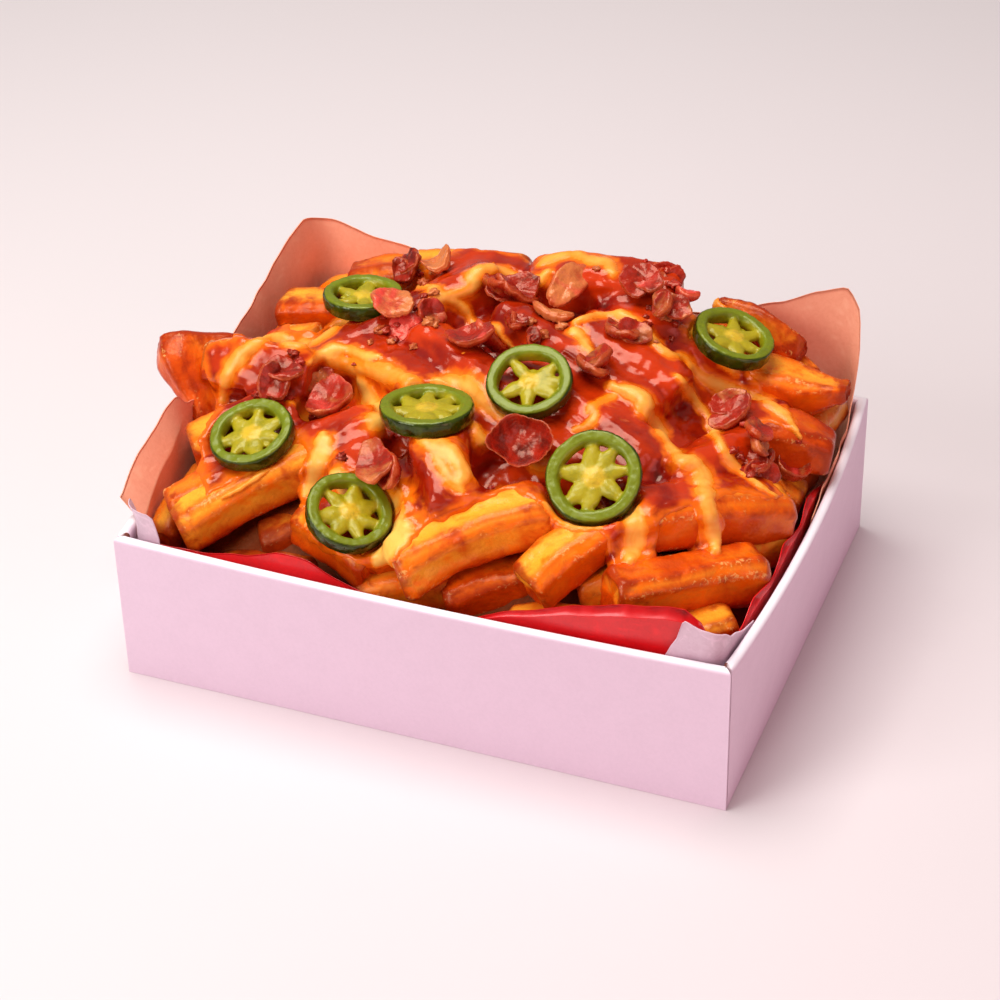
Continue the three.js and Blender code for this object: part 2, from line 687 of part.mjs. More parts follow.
function cheesyHeap(bare) {
  const wedgeMesh = asMesh(largestBody(bare));
  let solid = bare;
  for (const strand of CHEESE_STRANDS) solid = solid.add(toManifold(cheeseStrand(strand, wedgeMesh)));
  return solid;
}

// Toppings

// Turns a piece made round the origin to a normal, spins it on that, and sets it in place
function settle(geometry, at, normal, spin) {
  const up = new THREE.Vector3(...normal).normalize();
  const turn = new THREE.Quaternion().setFromUnitVectors(new THREE.Vector3(0, 0, 1), up);
  turn.multiply(new THREE.Quaternion().setFromAxisAngle(new THREE.Vector3(0, 0, 1), spin));
  return geometry.clone().applyQuaternion(turn).translate(...at);
}

// One slice of chilli pepper: a skin and wall, a sunk ring and a star of ribs inside
function pepperSlice(radius, grow) {
  const segments = SLICE_LOBES * 3;
  const half = SLICE_THICKNESS / 2;
  const ring = (share, z, lobe = 0) => {
    const loop = [];
    for (let i = 0; i < segments; i++) {
      const turn = (2 * Math.PI * i) / segments;
      const r = radius * (share + lobe * Math.cos(turn * SLICE_LOBES)) + (share === 1 ? grow : 0);
      loop.push(new THREE.Vector3(r * Math.cos(turn), r * Math.sin(turn), z));
    }
    return loop;
  };
  return loft([
    ring(0.46, half * 0.35 + grow, 0.13),
    ring(SLICE_WALL - 0.05, -half * 0.1 + grow),
    ring(SLICE_WALL, half + grow),
    ring(0.92, half + grow),
    ring(1, half * 0.4),
    ring(0.96, -half - grow),
  ]);
}

const PEPPER_SLICES = [
  { at: [-61.5, -36, 67], normal: [-0.1, -0.33, 1], radius: 12 },
  { at: [-25, -53, 60], normal: [0.4, -0.25, 1], radius: 12.2 },
  { at: [-14, -21.5, 76.5], normal: [-0.05, 0.12, 1], radius: 13.2 },
  { at: [10.5, -5, 81], normal: [0.05, -0.45, 1], radius: 12 },
  { at: [38.5, -30.5, 71.5], normal: [0.15, -0.8, 1], radius: 13.2 },
  { at: [56, 40.5, 78], normal: [0.3, 0, 1], radius: 11.9 },
  { at: [-53.5, 26, 78.5], normal: [-0.03, 0.08, 1], radius: 11.7 },
];

// One crisp, curled bit of bacon
function baconBit({ size: [length, width], curl, seed }, grow) {
  const random = randomSource(seed);
  const shares = Array.from({ length: BACON_CORNERS }, () => mix(0.84, 1.12, random()));
  const phase = random() * 2 * Math.PI;
  const ring = (scale, z, extra) => shares.map((share, i) => {
    const turn = (2 * Math.PI * i) / BACON_CORNERS;
    const x = (length / 2) * share * scale * Math.cos(turn) + extra * Math.cos(turn);
    const y = (width / 2) * share * scale * Math.sin(turn) + extra * Math.sin(turn);
    const bend = curl * ((2 * x) / length) ** 2 + 0.25 * curl * scale * Math.sin(2 * turn + phase);
    return new THREE.Vector3(x, y, z + bend);
  });
  const half = BACON_THICKNESS / 2 + grow;
  const edge = half * 0.75;
  return loft([ring(0.5, half, 0), ring(1, edge, grow), ring(0.96, -edge, grow), ring(0.5, -half, 0)]);
}

// Where the bits of bacon lie, with length, width, curl and turn in degrees. A bit without a
// normal tilts like the heap under it
const BACON_BITS = [
  { at: [-41.5, 19, 82], size: [14, 12], curl: 1.5, turn: 20 },
  { at: [-35, 14.5, 76], size: [16, 13], curl: -1.5, turn: 70 },
  { at: [-46.5, 45, 79], size: [10, 9], curl: 2, turn: 10 },
  { at: [-35.5, 44, 83.5], size: [9, 8], curl: 2.5, turn: 60 },
  { at: [-30, 22.5, 80], size: [10, 8], curl: 1.5, turn: 100 },
  { at: [-12, 12.5, 79.5], size: [17, 11], curl: 2, turn: 35 },
  { at: [-11.5, 35.5, 82], size: [18, 12], curl: 1.5, turn: 160 },
  { at: [6, 39.5, 87.5], size: [16, 11], curl: -1, turn: 75 },
  { at: [5.5, 27, 83.5], size: [14, 9], curl: 1.5, turn: 170 },
  { at: [-2, 19.5, 84], size: [6, 5], curl: 0.5, turn: 0 },
  { at: [-62, -17, 74], size: [12, 10], curl: 2, turn: 40 },
  { at: [-55.5, -4.5, 67.5], size: [11, 8], curl: 2, turn: 60 },
  { at: [-47, -14, 66.5], size: [17, 14], curl: 3, turn: 80 },
  { at: [-18.5, -41, 67.5], size: [17, 11], curl: 2, turn: 150 },
  { at: [15, -23.5, 72.5], size: [17, 15], curl: 1.5, turn: 10, normal: [0.2, -0.8, 1] },
  { at: [26, 9, 80.5], size: [13, 12], curl: 2, turn: 20 },
  { at: [28, 25.5, 82.5], size: [15, 10], curl: 2, turn: 150 },
  { at: [26.5, 43.5, 89], size: [13, 10], curl: 1.5, turn: 15 },
  { at: [31.5, 54, 86], size: [10, 6.5], curl: 1, turn: 160, normal: [0.2, -0.2, 1] },
  { at: [39.5, 47.5, 85.5], size: [7, 6.5], curl: 0.5, turn: 50 },
  { at: [37.5, 36.5, 87], size: [15, 9], curl: 1.5, turn: 140 },
  { at: [62, 18.5, 67.5], size: [14, 9], curl: 1.5, turn: 110 },
  { at: [73, 6, 68.5], size: [10, 10], curl: 2, turn: 30 },
  { at: [75, 3, 61], size: [12, 9], curl: 1.5, turn: 60 },
  { at: [81, 15, 53], size: [10, 8], curl: 2, turn: 20 },
  { at: [4, 16, 82], size: [5, 4.5], curl: 1, turn: 45 },
];
const STEEPEST_BIT = 0.6;
const LIFT_STEP = 0.4;
const LIFT_LIMIT = 60;

// Tilts a bit, and lifts it until it is clear of the other toppings
function layBacon(spec, index, under, others) {
  const shape = { ...spec, seed: 500 + index };
  let [x, y, z] = spec.at;
  const reach = (spec.size[0] + spec.size[1]) / 5;
  const slope = (dx, dy) => {
    const rise = heightOver(under, x + dx, y + dy) - heightOver(under, x - dx, y - dy);
    return THREE.MathUtils.clamp(rise / (2 * reach), -STEEPEST_BIT, STEEPEST_BIT);
  };
  const normal = spec.normal ?? [-slope(reach, 0), -slope(0, reach), 1];
  const spin = THREE.MathUtils.degToRad(spec.turn);
  for (let i = 0; i < LIFT_LIMIT; i++) {
    const grown = toManifold(settle(baconBit(shape, GAP), [x, y, z], normal, spin));
    if (grown.intersect(others).isEmpty()) break;
    z += LIFT_STEP;
  }
  return (grow) => settle(baconBit(shape, grow), [x, y, z], normal, spin);
}

// Materials

const paint = (color, roughness) => new THREE.MeshStandardMaterial({ color, roughness, metalness: 0 });
const CARD = paint('#f1dfe8', 0.75);
const KRAFT = paint('#dc8a66', 0.8);
const RED_PAPER = paint('#c40a14', 0.35);
const WHITE_PAPER = paint('#e6dde2', 0.7);
const POTATO = paint('#d8862e', 0.45);
const PEPPER = paint('#4f7a14', 0.35);
const BACON = paint('#93321f', 0.45);

// Assembly

const loadedWedges = new THREE.Group();
const addPiece = (name, geometry, material) => {
  const mesh = new THREE.Mesh(geometry, material);
  mesh.name = name;
  loadedWedges.add(mesh);
};

addPiece('box', cardBox(), CARD);
addPiece('liner_kraft', kraftLiner(0), KRAFT);
addPiece('liner_red', redLiner(0), RED_PAPER);
addPiece('flap_left', flapLeft(0), WHITE_PAPER);
addPiece('flap_right', flapRight(0), WHITE_PAPER);

let heap = cheesyHeap(bareHeap());
const under = [asMesh(largestBody(heap))];
const cutters = [kraftLiner(GAP), redLiner(GAP), flapLeft(GAP), flapRight(GAP)];
let toppings = toManifold(kraftLiner(0));

PEPPER_SLICES.forEach(({ at, normal, radius }, index) => {
  const place = (grow) => settle(pepperSlice(radius, grow), at, normal, index * 0.4);
  addPiece(`jalapeno_${index + 1}`, place(0), PEPPER);
  under.push(asMesh(place(0)));
  cutters.push(place(GAP));
  toppings = toppings.add(toManifold(place(0)));
});

BACON_BITS.forEach((spec, index) => {
  const place = layBacon(spec, index, under, toppings);
  addPiece(`bacon_${String(index + 1).padStart(2, '0')}`, place(0), BACON);
  under.push(asMesh(place(0)));
  cutters.push(place(GAP));
  toppings = toppings.add(toManifold(place(0)));
});

for (const cutter of cutters) heap = heap.subtract(toManifold(cutter));
addPiece('wedges', largestBody(heap), POTATO);

export default loadedWedges;
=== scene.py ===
"""Loaded potato wedges in a low white card box with paper liners.

Everything is measured in millimetres in the box's own frame (+X along the front wall, +Y to
the rear, +Z up, origin under the middle of the box) and scaled to metres as meshes are made.
"""

from __future__ import annotations

import json
import logging
import math
from collections.abc import Callable, Sequence
from dataclasses import dataclass, field
from enum import Enum

import bpy
import numpy as np
from mathutils import Matrix, Vector
from mathutils.bvhtree import BVHTree
from numpy.typing import NDArray

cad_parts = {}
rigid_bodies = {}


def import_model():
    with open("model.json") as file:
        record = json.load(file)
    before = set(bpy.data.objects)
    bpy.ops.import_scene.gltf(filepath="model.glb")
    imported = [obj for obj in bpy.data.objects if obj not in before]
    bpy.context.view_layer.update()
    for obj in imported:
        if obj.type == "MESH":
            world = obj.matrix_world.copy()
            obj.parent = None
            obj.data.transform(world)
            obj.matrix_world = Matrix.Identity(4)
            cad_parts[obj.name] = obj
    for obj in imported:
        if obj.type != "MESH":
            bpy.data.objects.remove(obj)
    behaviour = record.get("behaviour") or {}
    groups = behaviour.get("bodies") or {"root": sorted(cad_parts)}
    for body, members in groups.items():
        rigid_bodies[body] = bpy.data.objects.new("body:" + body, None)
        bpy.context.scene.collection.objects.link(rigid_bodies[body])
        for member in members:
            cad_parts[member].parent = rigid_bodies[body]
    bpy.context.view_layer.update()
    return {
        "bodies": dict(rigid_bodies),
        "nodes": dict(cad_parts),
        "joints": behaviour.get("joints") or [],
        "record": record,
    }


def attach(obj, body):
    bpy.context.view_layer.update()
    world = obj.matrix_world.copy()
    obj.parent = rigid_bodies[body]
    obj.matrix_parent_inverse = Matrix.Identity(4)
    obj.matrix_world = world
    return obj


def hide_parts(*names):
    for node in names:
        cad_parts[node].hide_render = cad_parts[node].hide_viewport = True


LOG = logging.getLogger("loaded_wedges")
Array = NDArray[np.float64]
Indices = NDArray[np.int64]
Point = tuple[float, float, float]
Pixel = tuple[float, float]
Stations = tuple[tuple[float, float], ...]
Colour = tuple[float, float, float]

MM = 0.001
BODY = "root"


# Plain maths


def mix(a: float, b: float, t: float) -> float:
    """The value a share t of the way from a to b."""
    return a + (b - a) * t


def smooth_step(low: float, high: float, x: Array) -> Array:
    """Rises smoothly from 0 to 1 as x goes from low to high, or falls if high is below low."""
    t = np.clip((x - low) / (high - low), 0.0, 1.0)
    return t * t * (3 - 2 * t)


def profile(stations: Stations, x: Array | float) -> Array:
    """Reads a profile of [position, value] stations, half eased between them.

    Args:
        stations: Positions in rising order, each with its value.
        x: Where to read it.

    Returns:
        The values at x, held level beyond both ends.
    """
    places = np.array([s[0] for s in stations], float)
    values = np.array([s[1] for s in stations], float)
    i = np.clip(np.searchsorted(places, x) - 1, 0, len(places) - 2)
    t = np.clip((np.asarray(x) - places[i]) / (places[i + 1] - places[i]), 0.0, 1.0)
    t = t * t * (3 - 2 * t) * 0.5 + t * 0.5
    return values[i] + (values[i + 1] - values[i]) * t


def unit(vectors: Array) -> Array:
    """Vectors of length one along the given ones."""
    return vectors / np.maximum(np.linalg.norm(vectors, axis=-1, keepdims=True), 1e-12)


def smooth_path(points: Array, spacing: float) -> Array:
    """A curve through points, as evenly spaced points.

    Args:
        points: The points that the curve passes through.
        spacing: Distance between the returned points.

    Returns:
        Points along a Catmull-Rom curve.
    """
    ends = np.vstack([2 * points[0] - points[1], points, 2 * points[-1] - points[-2]])
    dense = []
    for a, b, c, d in zip(ends[:-3], ends[1:-2], ends[2:-1], ends[3:]):
        t = np.linspace(0, 1, 12, endpoint=False)[:, None]
        square, cube = 2 * a - 5 * b + 4 * c - d, 3 * b - a - 3 * c + d
        dense.append(0.5 * (2 * b + (c - a) * t + square * t**2 + cube * t**3))
    line = np.vstack([*dense, points[-1:]])
    walked = np.concatenate([[0], np.cumsum(np.linalg.norm(np.diff(line, axis=0), axis=1))])
    count = max(2, round(walked[-1] / spacing) + 1)
    at = np.linspace(0, walked[-1], count)
    return np.stack([np.interp(at, walked, line[:, k]) for k in range(line.shape[1])], 1)


def linear(red: int, green: int, blue: int) -> Colour:
    """A colour given by its screen values from 0 to 255, as linear light."""
    shares = [c / 255 for c in (red, green, blue)]
    return tuple(c / 12.92 if c <= 0.04045 else ((c + 0.055) / 1.055) ** 2.4 for c in shares)


class SeededDraws:
    """Random numbers that come out the same every time."""

    def __init__(self, seed: int) -> None:
        """Starts the stream of a seed."""
        self.state = (seed * 2654435 + 12345) & 0xFFFFFFFF

    def share(self) -> float:
        """The next number from 0 to 1."""
        self.state = (self.state * 1664525 + 1013904223) & 0xFFFFFFFF
        return self.state / 4294967296

    def between(self, low: float, high: float) -> float:
        """The next number from low to high."""
        return mix(low, high, self.share())


@dataclass(frozen=True)
class Lumps:
    """Smooth seeded noise over space, from about -1 to 1."""

    seed: int

    def at(self, points: Array, size: float, octaves: int = 1) -> Array:
        """Reads the noise.

        Args:
            points: Points in millimetres.
            size: How far apart its lumps are.
            octaves: How many finer layers are summed, each half as large and as strong.

        Returns:
            One value a point.
        """
        table = np.random.default_rng(self.seed)
        order = np.tile(table.permutation(256), 2)
        slopes = unit(table.normal(size=(256, 3)))
        total = np.zeros(len(points))
        for octave in range(octaves):
            p = points * (2**octave / size) + 31.7 * octave
            cell = np.floor(p).astype(int)
            f = p - cell
            fade = f * f * f * (f * (f * 6 - 15) + 10)
            layer = np.zeros(len(points))
            for corner in np.ndindex(2, 2, 2):
                i = (cell + corner) & 255
                slope = slopes[order[order[order[i[:, 0]] + i[:, 1]] + i[:, 2]]]
                weight = np.prod(np.where(corner, fade, 1 - fade), axis=1)
                layer += weight * np.einsum("ij,ij->i", slope, f - corner)
            total += layer * 1.6 / 2**octave
        return total


# Meshes


@dataclass
class Skin:
    """A surface: points in millimetres, faces of four and three points, and values at points."""

    points: Array
    quads: Indices
    tris: Indices = field(default_factory=lambda: np.zeros((0, 3), int))
    values: dict[str, Array] = field(default_factory=dict)

    @staticmethod
    def joined(skins: Sequence["Skin"]) -> "Skin":
        """One surface made of several, which share the names of their values."""
        starts = np.cumsum([0] + [len(s.points) for s in skins[:-1]])
        return Skin(
            np.vstack([s.points for s in skins]),
            np.vstack([s.quads + n for s, n in zip(skins, starts)]),
            np.vstack([s.tris + n for s, n in zip(skins, starts)]),
            {key: np.concatenate([s.values[key] for s in skins]) for key in skins[0].values},
        )

    def normals(self) -> Array:
        """The surface's outward direction at each point."""
        total = np.zeros_like(self.points)
        for faces in (self.quads, self.tris):
            if len(faces):
                p = self.points[faces]
                across = np.cross(p[:, 2] - p[:, 0], p[:, -1] - p[:, 1])
                for k in range(faces.shape[1]):
                    for axis in range(3):
                        total[:, axis] += np.bincount(faces[:, k], across[:, axis], len(total))
        return unit(total)

    def smoothed(self, rounds: int, strength: float = 0.5) -> "Skin":
        """The same surface, with each point drawn towards its neighbours."""
        pairs = np.vstack([self.quads[:, [k, (k + 1) % 4]] for k in range(4)])
        points = self.points.copy()
        count = np.maximum(np.bincount(pairs[:, 0], minlength=len(points)), 1)[:, None]
        for _ in range(rounds):
            sums = [np.bincount(pairs[:, 0], points[pairs[:, 1], k], len(points)) for k in range(3)]
            points += (np.stack(sums, 1) / count - points) * strength
        return Skin(points, self.quads, self.tris, self.values)

    def kept(self, wanted: NDArray[np.bool_]) -> "Skin":
        """The part of the surface whose faces have at least one wanted point."""
        quads = self.quads[wanted[self.quads].any(axis=1)]
        tris = self.tris[wanted[self.tris].any(axis=1)]
        used = np.unique(np.concatenate([quads.ravel(), tris.ravel()]))
        renumbered = np.zeros(len(self.points), int)
        renumbered[used] = np.arange(len(used))
        values = {key: value[used] for key, value in self.values.items()}
        return Skin(self.points[used], renumbered[quads], renumbered[tris], values)

    def tree(self) -> BVHTree:
        """A search tree of the surface, in millimetres."""
        faces = [*self.quads.tolist(), *self.tris.tolist()]
        return BVHTree.FromPolygons(self.points.tolist(), faces)

    def mesh(self, name: str) -> bpy.types.Mesh:
        """The surface as a mesh in metres."""
        mesh = bpy.data.meshes.new(name)
        mesh.vertices.add(len(self.points))
        mesh.vertices.foreach_set("co", (self.points * MM).astype(np.float32).ravel())
        corners = np.concatenate([self.quads.ravel(), self.tris.ravel()])
        mesh.loops.add(len(corners))
        mesh.loops.foreach_set("vertex_index", corners.astype(np.int32))
        fours = np.arange(len(self.quads)) * 4
        threes = len(self.quads) * 4 + np.arange(len(self.tris)) * 3
        mesh.polygons.add(len(fours) + len(threes))
        mesh.polygons.foreach_set("loop_start", np.concatenate([fours, threes]).astype(np.int32))
        mesh.update(calc_edges=True)
        mesh.validate()
        mesh.shade_smooth()
        for key, value in self.values.items():
            layer = mesh.attributes.new(key, "FLOAT", "POINT")
            layer.data.foreach_set("value", value.astype(np.float32))
        return mesh


def grid_quads(rows: int, columns: int, closed: bool) -> Indices:
    """Faces of a grid of points, in rows, joined round if closed."""
    r, c = np.meshgrid(np.arange(rows - 1), np.arange(columns if closed else columns - 1), indexing="ij")
    a = r * columns + c
    b = r * columns + (c + 1) % columns
    return np.stack([a, b, b + columns, a + columns], -1).reshape(-1, 4)


def tube_skin(rings: Sequence[Array]) -> Skin:
    """A closed surface through loops of equal length, with a fan over both ends.

    Args:
        rings: Loops of points, anticlockwise seen from the far end.

    Returns:
        The surface. Its last two points are the middles of its ends.
    """
    count = len(rings[0])
    points = np.vstack([*rings, rings[0].mean(0)[None], rings[-1].mean(0)[None]])
    i = np.arange(count)
    j = (i + 1) % count
    last = (len(rings) - 1) * count
    first_fan = np.stack([np.full(count, len(points) - 2), j, i], 1)
    last_fan = np.stack([np.full(count, len(points) - 1), last + i, last + j], 1)
    return Skin(points, grid_quads(len(rings), count, True), np.vstack([first_fan, last_fan]))


def remeshed(skin: Skin, voxel: float) -> Skin:
    """The outline of a surface and all that it crosses, as even small faces.

    Args:
        skin: A closed surface, which may pass through itself.
        voxel: Size of the new faces in millimetres.

    Returns:
        The new surface.
    """
    rough = bpy.data.objects.new("outline_work", skin.mesh("outline_work"))
    bpy.context.scene.collection.objects.link(rough)
    change = rough.modifiers.new("outline", "REMESH")
    change.mode = "VOXEL"
    change.voxel_size = voxel * MM
    graph = bpy.context.evaluated_depsgraph_get()
    mesh = bpy.data.meshes.new_from_object(rough.evaluated_get(graph))
    points = np.zeros(len(mesh.vertices) * 3, np.float32)
    mesh.vertices.foreach_get("co", points)
    corners = np.zeros(len(mesh.loops), np.int32)
    mesh.loops.foreach_get("vertex_index", corners)
    totals = np.zeros(len(mesh.polygons), np.int32)
    mesh.polygons.foreach_get("loop_total", totals)
    starts = np.concatenate([[0], np.cumsum(totals)[:-1]])
    quads = corners[starts[totals == 4][:, None] + np.arange(4)]
    tris = corners[starts[totals == 3][:, None] + np.arange(3)]
    bpy.data.meshes.remove(mesh)
    old = rough.data
    bpy.data.objects.remove(rough)
    bpy.data.meshes.remove(old)
    return Skin(points.reshape(-1, 3).astype(float) / MM, quads.astype(int), tris.astype(int))


def add_piece(
    name: str, skin: Skin, material: bpy.types.Material, nodes: Sequence[str] = ()
) -> bpy.types.Object:
    """Adds a finished piece to the part.

    Args:
        name: The piece's name.
        skin: Its surface.
        material: Its finish.
        nodes: The solids that it stands for, if any.

    Returns:
        The new object.
    """
    piece = bpy.data.objects.new(name, skin.mesh(name))
    piece.data.materials.append(material)
    bpy.context.scene.collection.objects.link(piece)
    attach(piece, BODY)
    if nodes:
        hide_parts(*nodes)
    LOG.info("%s: %d points, %d faces", name, len(skin.points), len(skin.quads) + len(skin.tris))
    return piece


# Finishes: sums written on the sockets of a node graph


@dataclass(frozen=True)
class Signal:
    """What a node gives out, on which sums can be written."""

    graph: "Graph"
    socket: bpy.types.NodeSocket | None

    def _sum(self, kind: str, a: "Feed", b: "Feed") -> "Signal":
        """The sum of a kind on two inputs."""
        return self.graph.add("ShaderNodeMath", {"operation": kind}, {0: a, 1: b})

    def __add__(self, other: "Feed") -> "Signal":
        """Self + other."""
        return self._sum("ADD", self, other)

    def __radd__(self, other: "Feed") -> "Signal":
        """Other + self."""
        return self._sum("ADD", other, self)

    def __sub__(self, other: "Feed") -> "Signal":
        """Self - other."""
        return self._sum("SUBTRACT", self, other)

    def __rsub__(self, other: "Feed") -> "Signal":
        """Other - self."""
        return self._sum("SUBTRACT", other, self)

    def __mul__(self, other: "Feed") -> "Signal":
        """Self * other."""
        return self._sum("MULTIPLY", self, other)

    def __rmul__(self, other: "Feed") -> "Signal":
        """Other * self."""
        return self._sum("MULTIPLY", other, self)

    def between(self, low: float, high: float) -> "Signal":
        """A smooth step from 0 at low to 1 at high, or down if high is below low."""
        if low > high:
            return 1 - self.between(high, low)
        feeds = {"Value": self, "From Min": low, "From Max": high}
        return self.graph.add("ShaderNodeMapRange", {"interpolation_type": "SMOOTHSTEP"}, feeds)


Feed = Signal | float | Colour


class Graph:
    """The node graph of one material."""

    def __init__(self, name: str) -> None:
        """Starts a material with an empty graph."""
        self.material = bpy.data.materials.new(name)
        self.material.use_nodes = True
        self.tree = self.material.node_tree
        self.tree.nodes.clear()

    def add(
        self, kind: str, settings: dict[str, object], feeds: dict[str | int, Feed], out: str | int = 0
    ) -> Signal:
        """Adds a node.

        Args:
            kind: The node's type.
            settings: Its own settings, which are made first.
            feeds: What goes into its sockets, values or links.
            out: Which of its outputs is given back.

        Returns:
            That output.
        """
        node = self.tree.nodes.new(kind)
        for key, value in settings.items():
            setattr(node, key, value)
        for key, value in feeds.items():
            socket = node.inputs[key]
            if isinstance(value, Signal):
                self.tree.links.new(value.socket, socket)
            elif socket.type == "RGBA":
                socket.default_value = (*value, 1.0)
            else:
                socket.default_value = value
        return Signal(self, node.outputs[out] if node.outputs else None)

    def reading(self, name: str) -> Signal:
        """A value that the mesh holds at its points."""
        return self.add("ShaderNodeAttribute", {"attribute_name": name}, {}, "Fac")

    def place(self) -> Signal:
        """The point's place in the part, in metres."""
        return self.add("ShaderNodeTexCoord", {}, {}, "Object")

    def stretched(self, names: Sequence[str], shares: Point) -> Signal:
        """Three values held at points, as a place, each times a share."""
        feeds = {k: self.reading(name) * share for k, (name, share) in enumerate(zip(names, shares))}
        return self.add("ShaderNodeCombineXYZ", {}, feeds)

    def noise(self, place: Signal, scale: float, detail: float = 2.0, twist: float = 0.0) -> Signal:
        """Noise about 0.5 over a place."""
        feeds = {"Vector": place, "Scale": scale, "Detail": detail, "Distortion": twist}
        return self.add("ShaderNodeTexNoise", {}, feeds, "Fac")

    def cells(self, place: Signal, scale: float) -> Signal:
        """Distance to the nearest of scattered points."""
        return self.add("ShaderNodeTexVoronoi", {}, {"Vector": place, "Scale": scale}, "Distance")

    def blend(self, share: Feed, a: Feed, b: Feed) -> Signal:
        """A colour a share of the way from a to b."""
        settings = {"data_type": "RGBA", "clamp_factor": True}
        return self.add("ShaderNodeMix", settings, {0: share, 6: a, 7: b}, 2)

    def bump(self, height: Signal, depth: float, strength: float = 1.0) -> Signal:
        """A normal bent by a height of 0 to 1 that stands for a depth in millimetres."""
        feeds = {"Height": height, "Distance": depth * MM, "Strength": strength}
        return self.add("ShaderNodeBump", {}, feeds)

    def finish(self, feeds: dict[str | int, Feed]) -> bpy.types.Material:
        """Ends the graph in one shader.

        Args:
            feeds: Inputs of the Principled shader.

        Returns:
            The material.
        """
        shader = self.add("ShaderNodeBsdfPrincipled", {}, feeds)
        self.add("ShaderNodeOutputMaterial", {}, {"Surface": shader})
        return self.material


@dataclass(frozen=True)
class CardFinish:
    """White card with faint fibres, tinted pale pink as painted reddish bounced light, and whiter on its
    rim as a painted highlight where light falls on the rolled top.
    """

    # pale pink: white card with a painted tint of reddish bounced light
    face: Colour = linear(232, 204, 221)
    # painted highlight: the rolled rim is whiter where light falls on it
    rim: Colour = linear(250, 242, 247)
    # dark brown in the slit: the board's raw edge plus painted shade in the recess
    slit_edge_and_shade: Colour = linear(120, 60, 45)
    fibre: float = 0.03

    def material(self) -> bpy.types.Material:
        """Makes the material."""
        g = Graph("white_card")
        place = g.place()
        fibres = g.noise(place, 900.0, 4.0, 0.6)
        mottle = g.noise(place, 130.0, 3.0)
        dirt = (fibres * 0.6 + mottle * 0.4).between(0.3, 0.75)
        shade = g.blend(dirt * 0.22, self.face, tuple(c * 0.8 for c in self.face))
        # painted highlight on the rim
        shade = g.blend(g.reading("rim"), shade, self.rim)
        # slit darkened: raw board edge and painted shade
        shade = g.blend(g.reading("slit_edge_and_shade"), shade, self.slit_edge_and_shade)
        bump = g.bump(fibres * 0.7 + mottle * 0.3, self.fibre * 4, 0.35)
        return g.finish({"Base Color": shade, "Roughness": 0.55 + mottle * 0.15, "Normal": bump})


@dataclass(frozen=True)
class PaperFinish:
    """Liner paper, with fibres and mottling."""

    name: str
    colour: Colour
    deep: Colour
    roughness: float
    fibre: float = 0.06
    coat: float = 0.0
    mottle: float = 0.5

    def material(self) -> bpy.types.Material:
        """Makes the material."""
        g = Graph(self.name)
        place = g.place()
        fibres = g.noise(place, 700.0, 5.0, 1.2)
        clouds = g.noise(place, 60.0, 3.0)
        share = (clouds * self.mottle + fibres * 0.5).between(0.25, 0.8)
        shade = g.blend(share * 0.6, self.colour, self.deep)
        # painted highlight: lighter along folds and crumples
        shade = g.blend(g.reading("crease_highlight"), shade, tuple(min(1.0, c * 1.25) for c in self.colour))
        bump = g.bump(fibres * 0.6 + clouds * 0.4, self.fibre * 4, 0.4)
        rough = self.roughness + fibres * 0.12
        return g.finish({
            "Base Color": shade,
            "Roughness": rough,
            "Normal": bump,
            "Coat Weight": self.coat,
            "Coat Roughness": 0.18,
        })


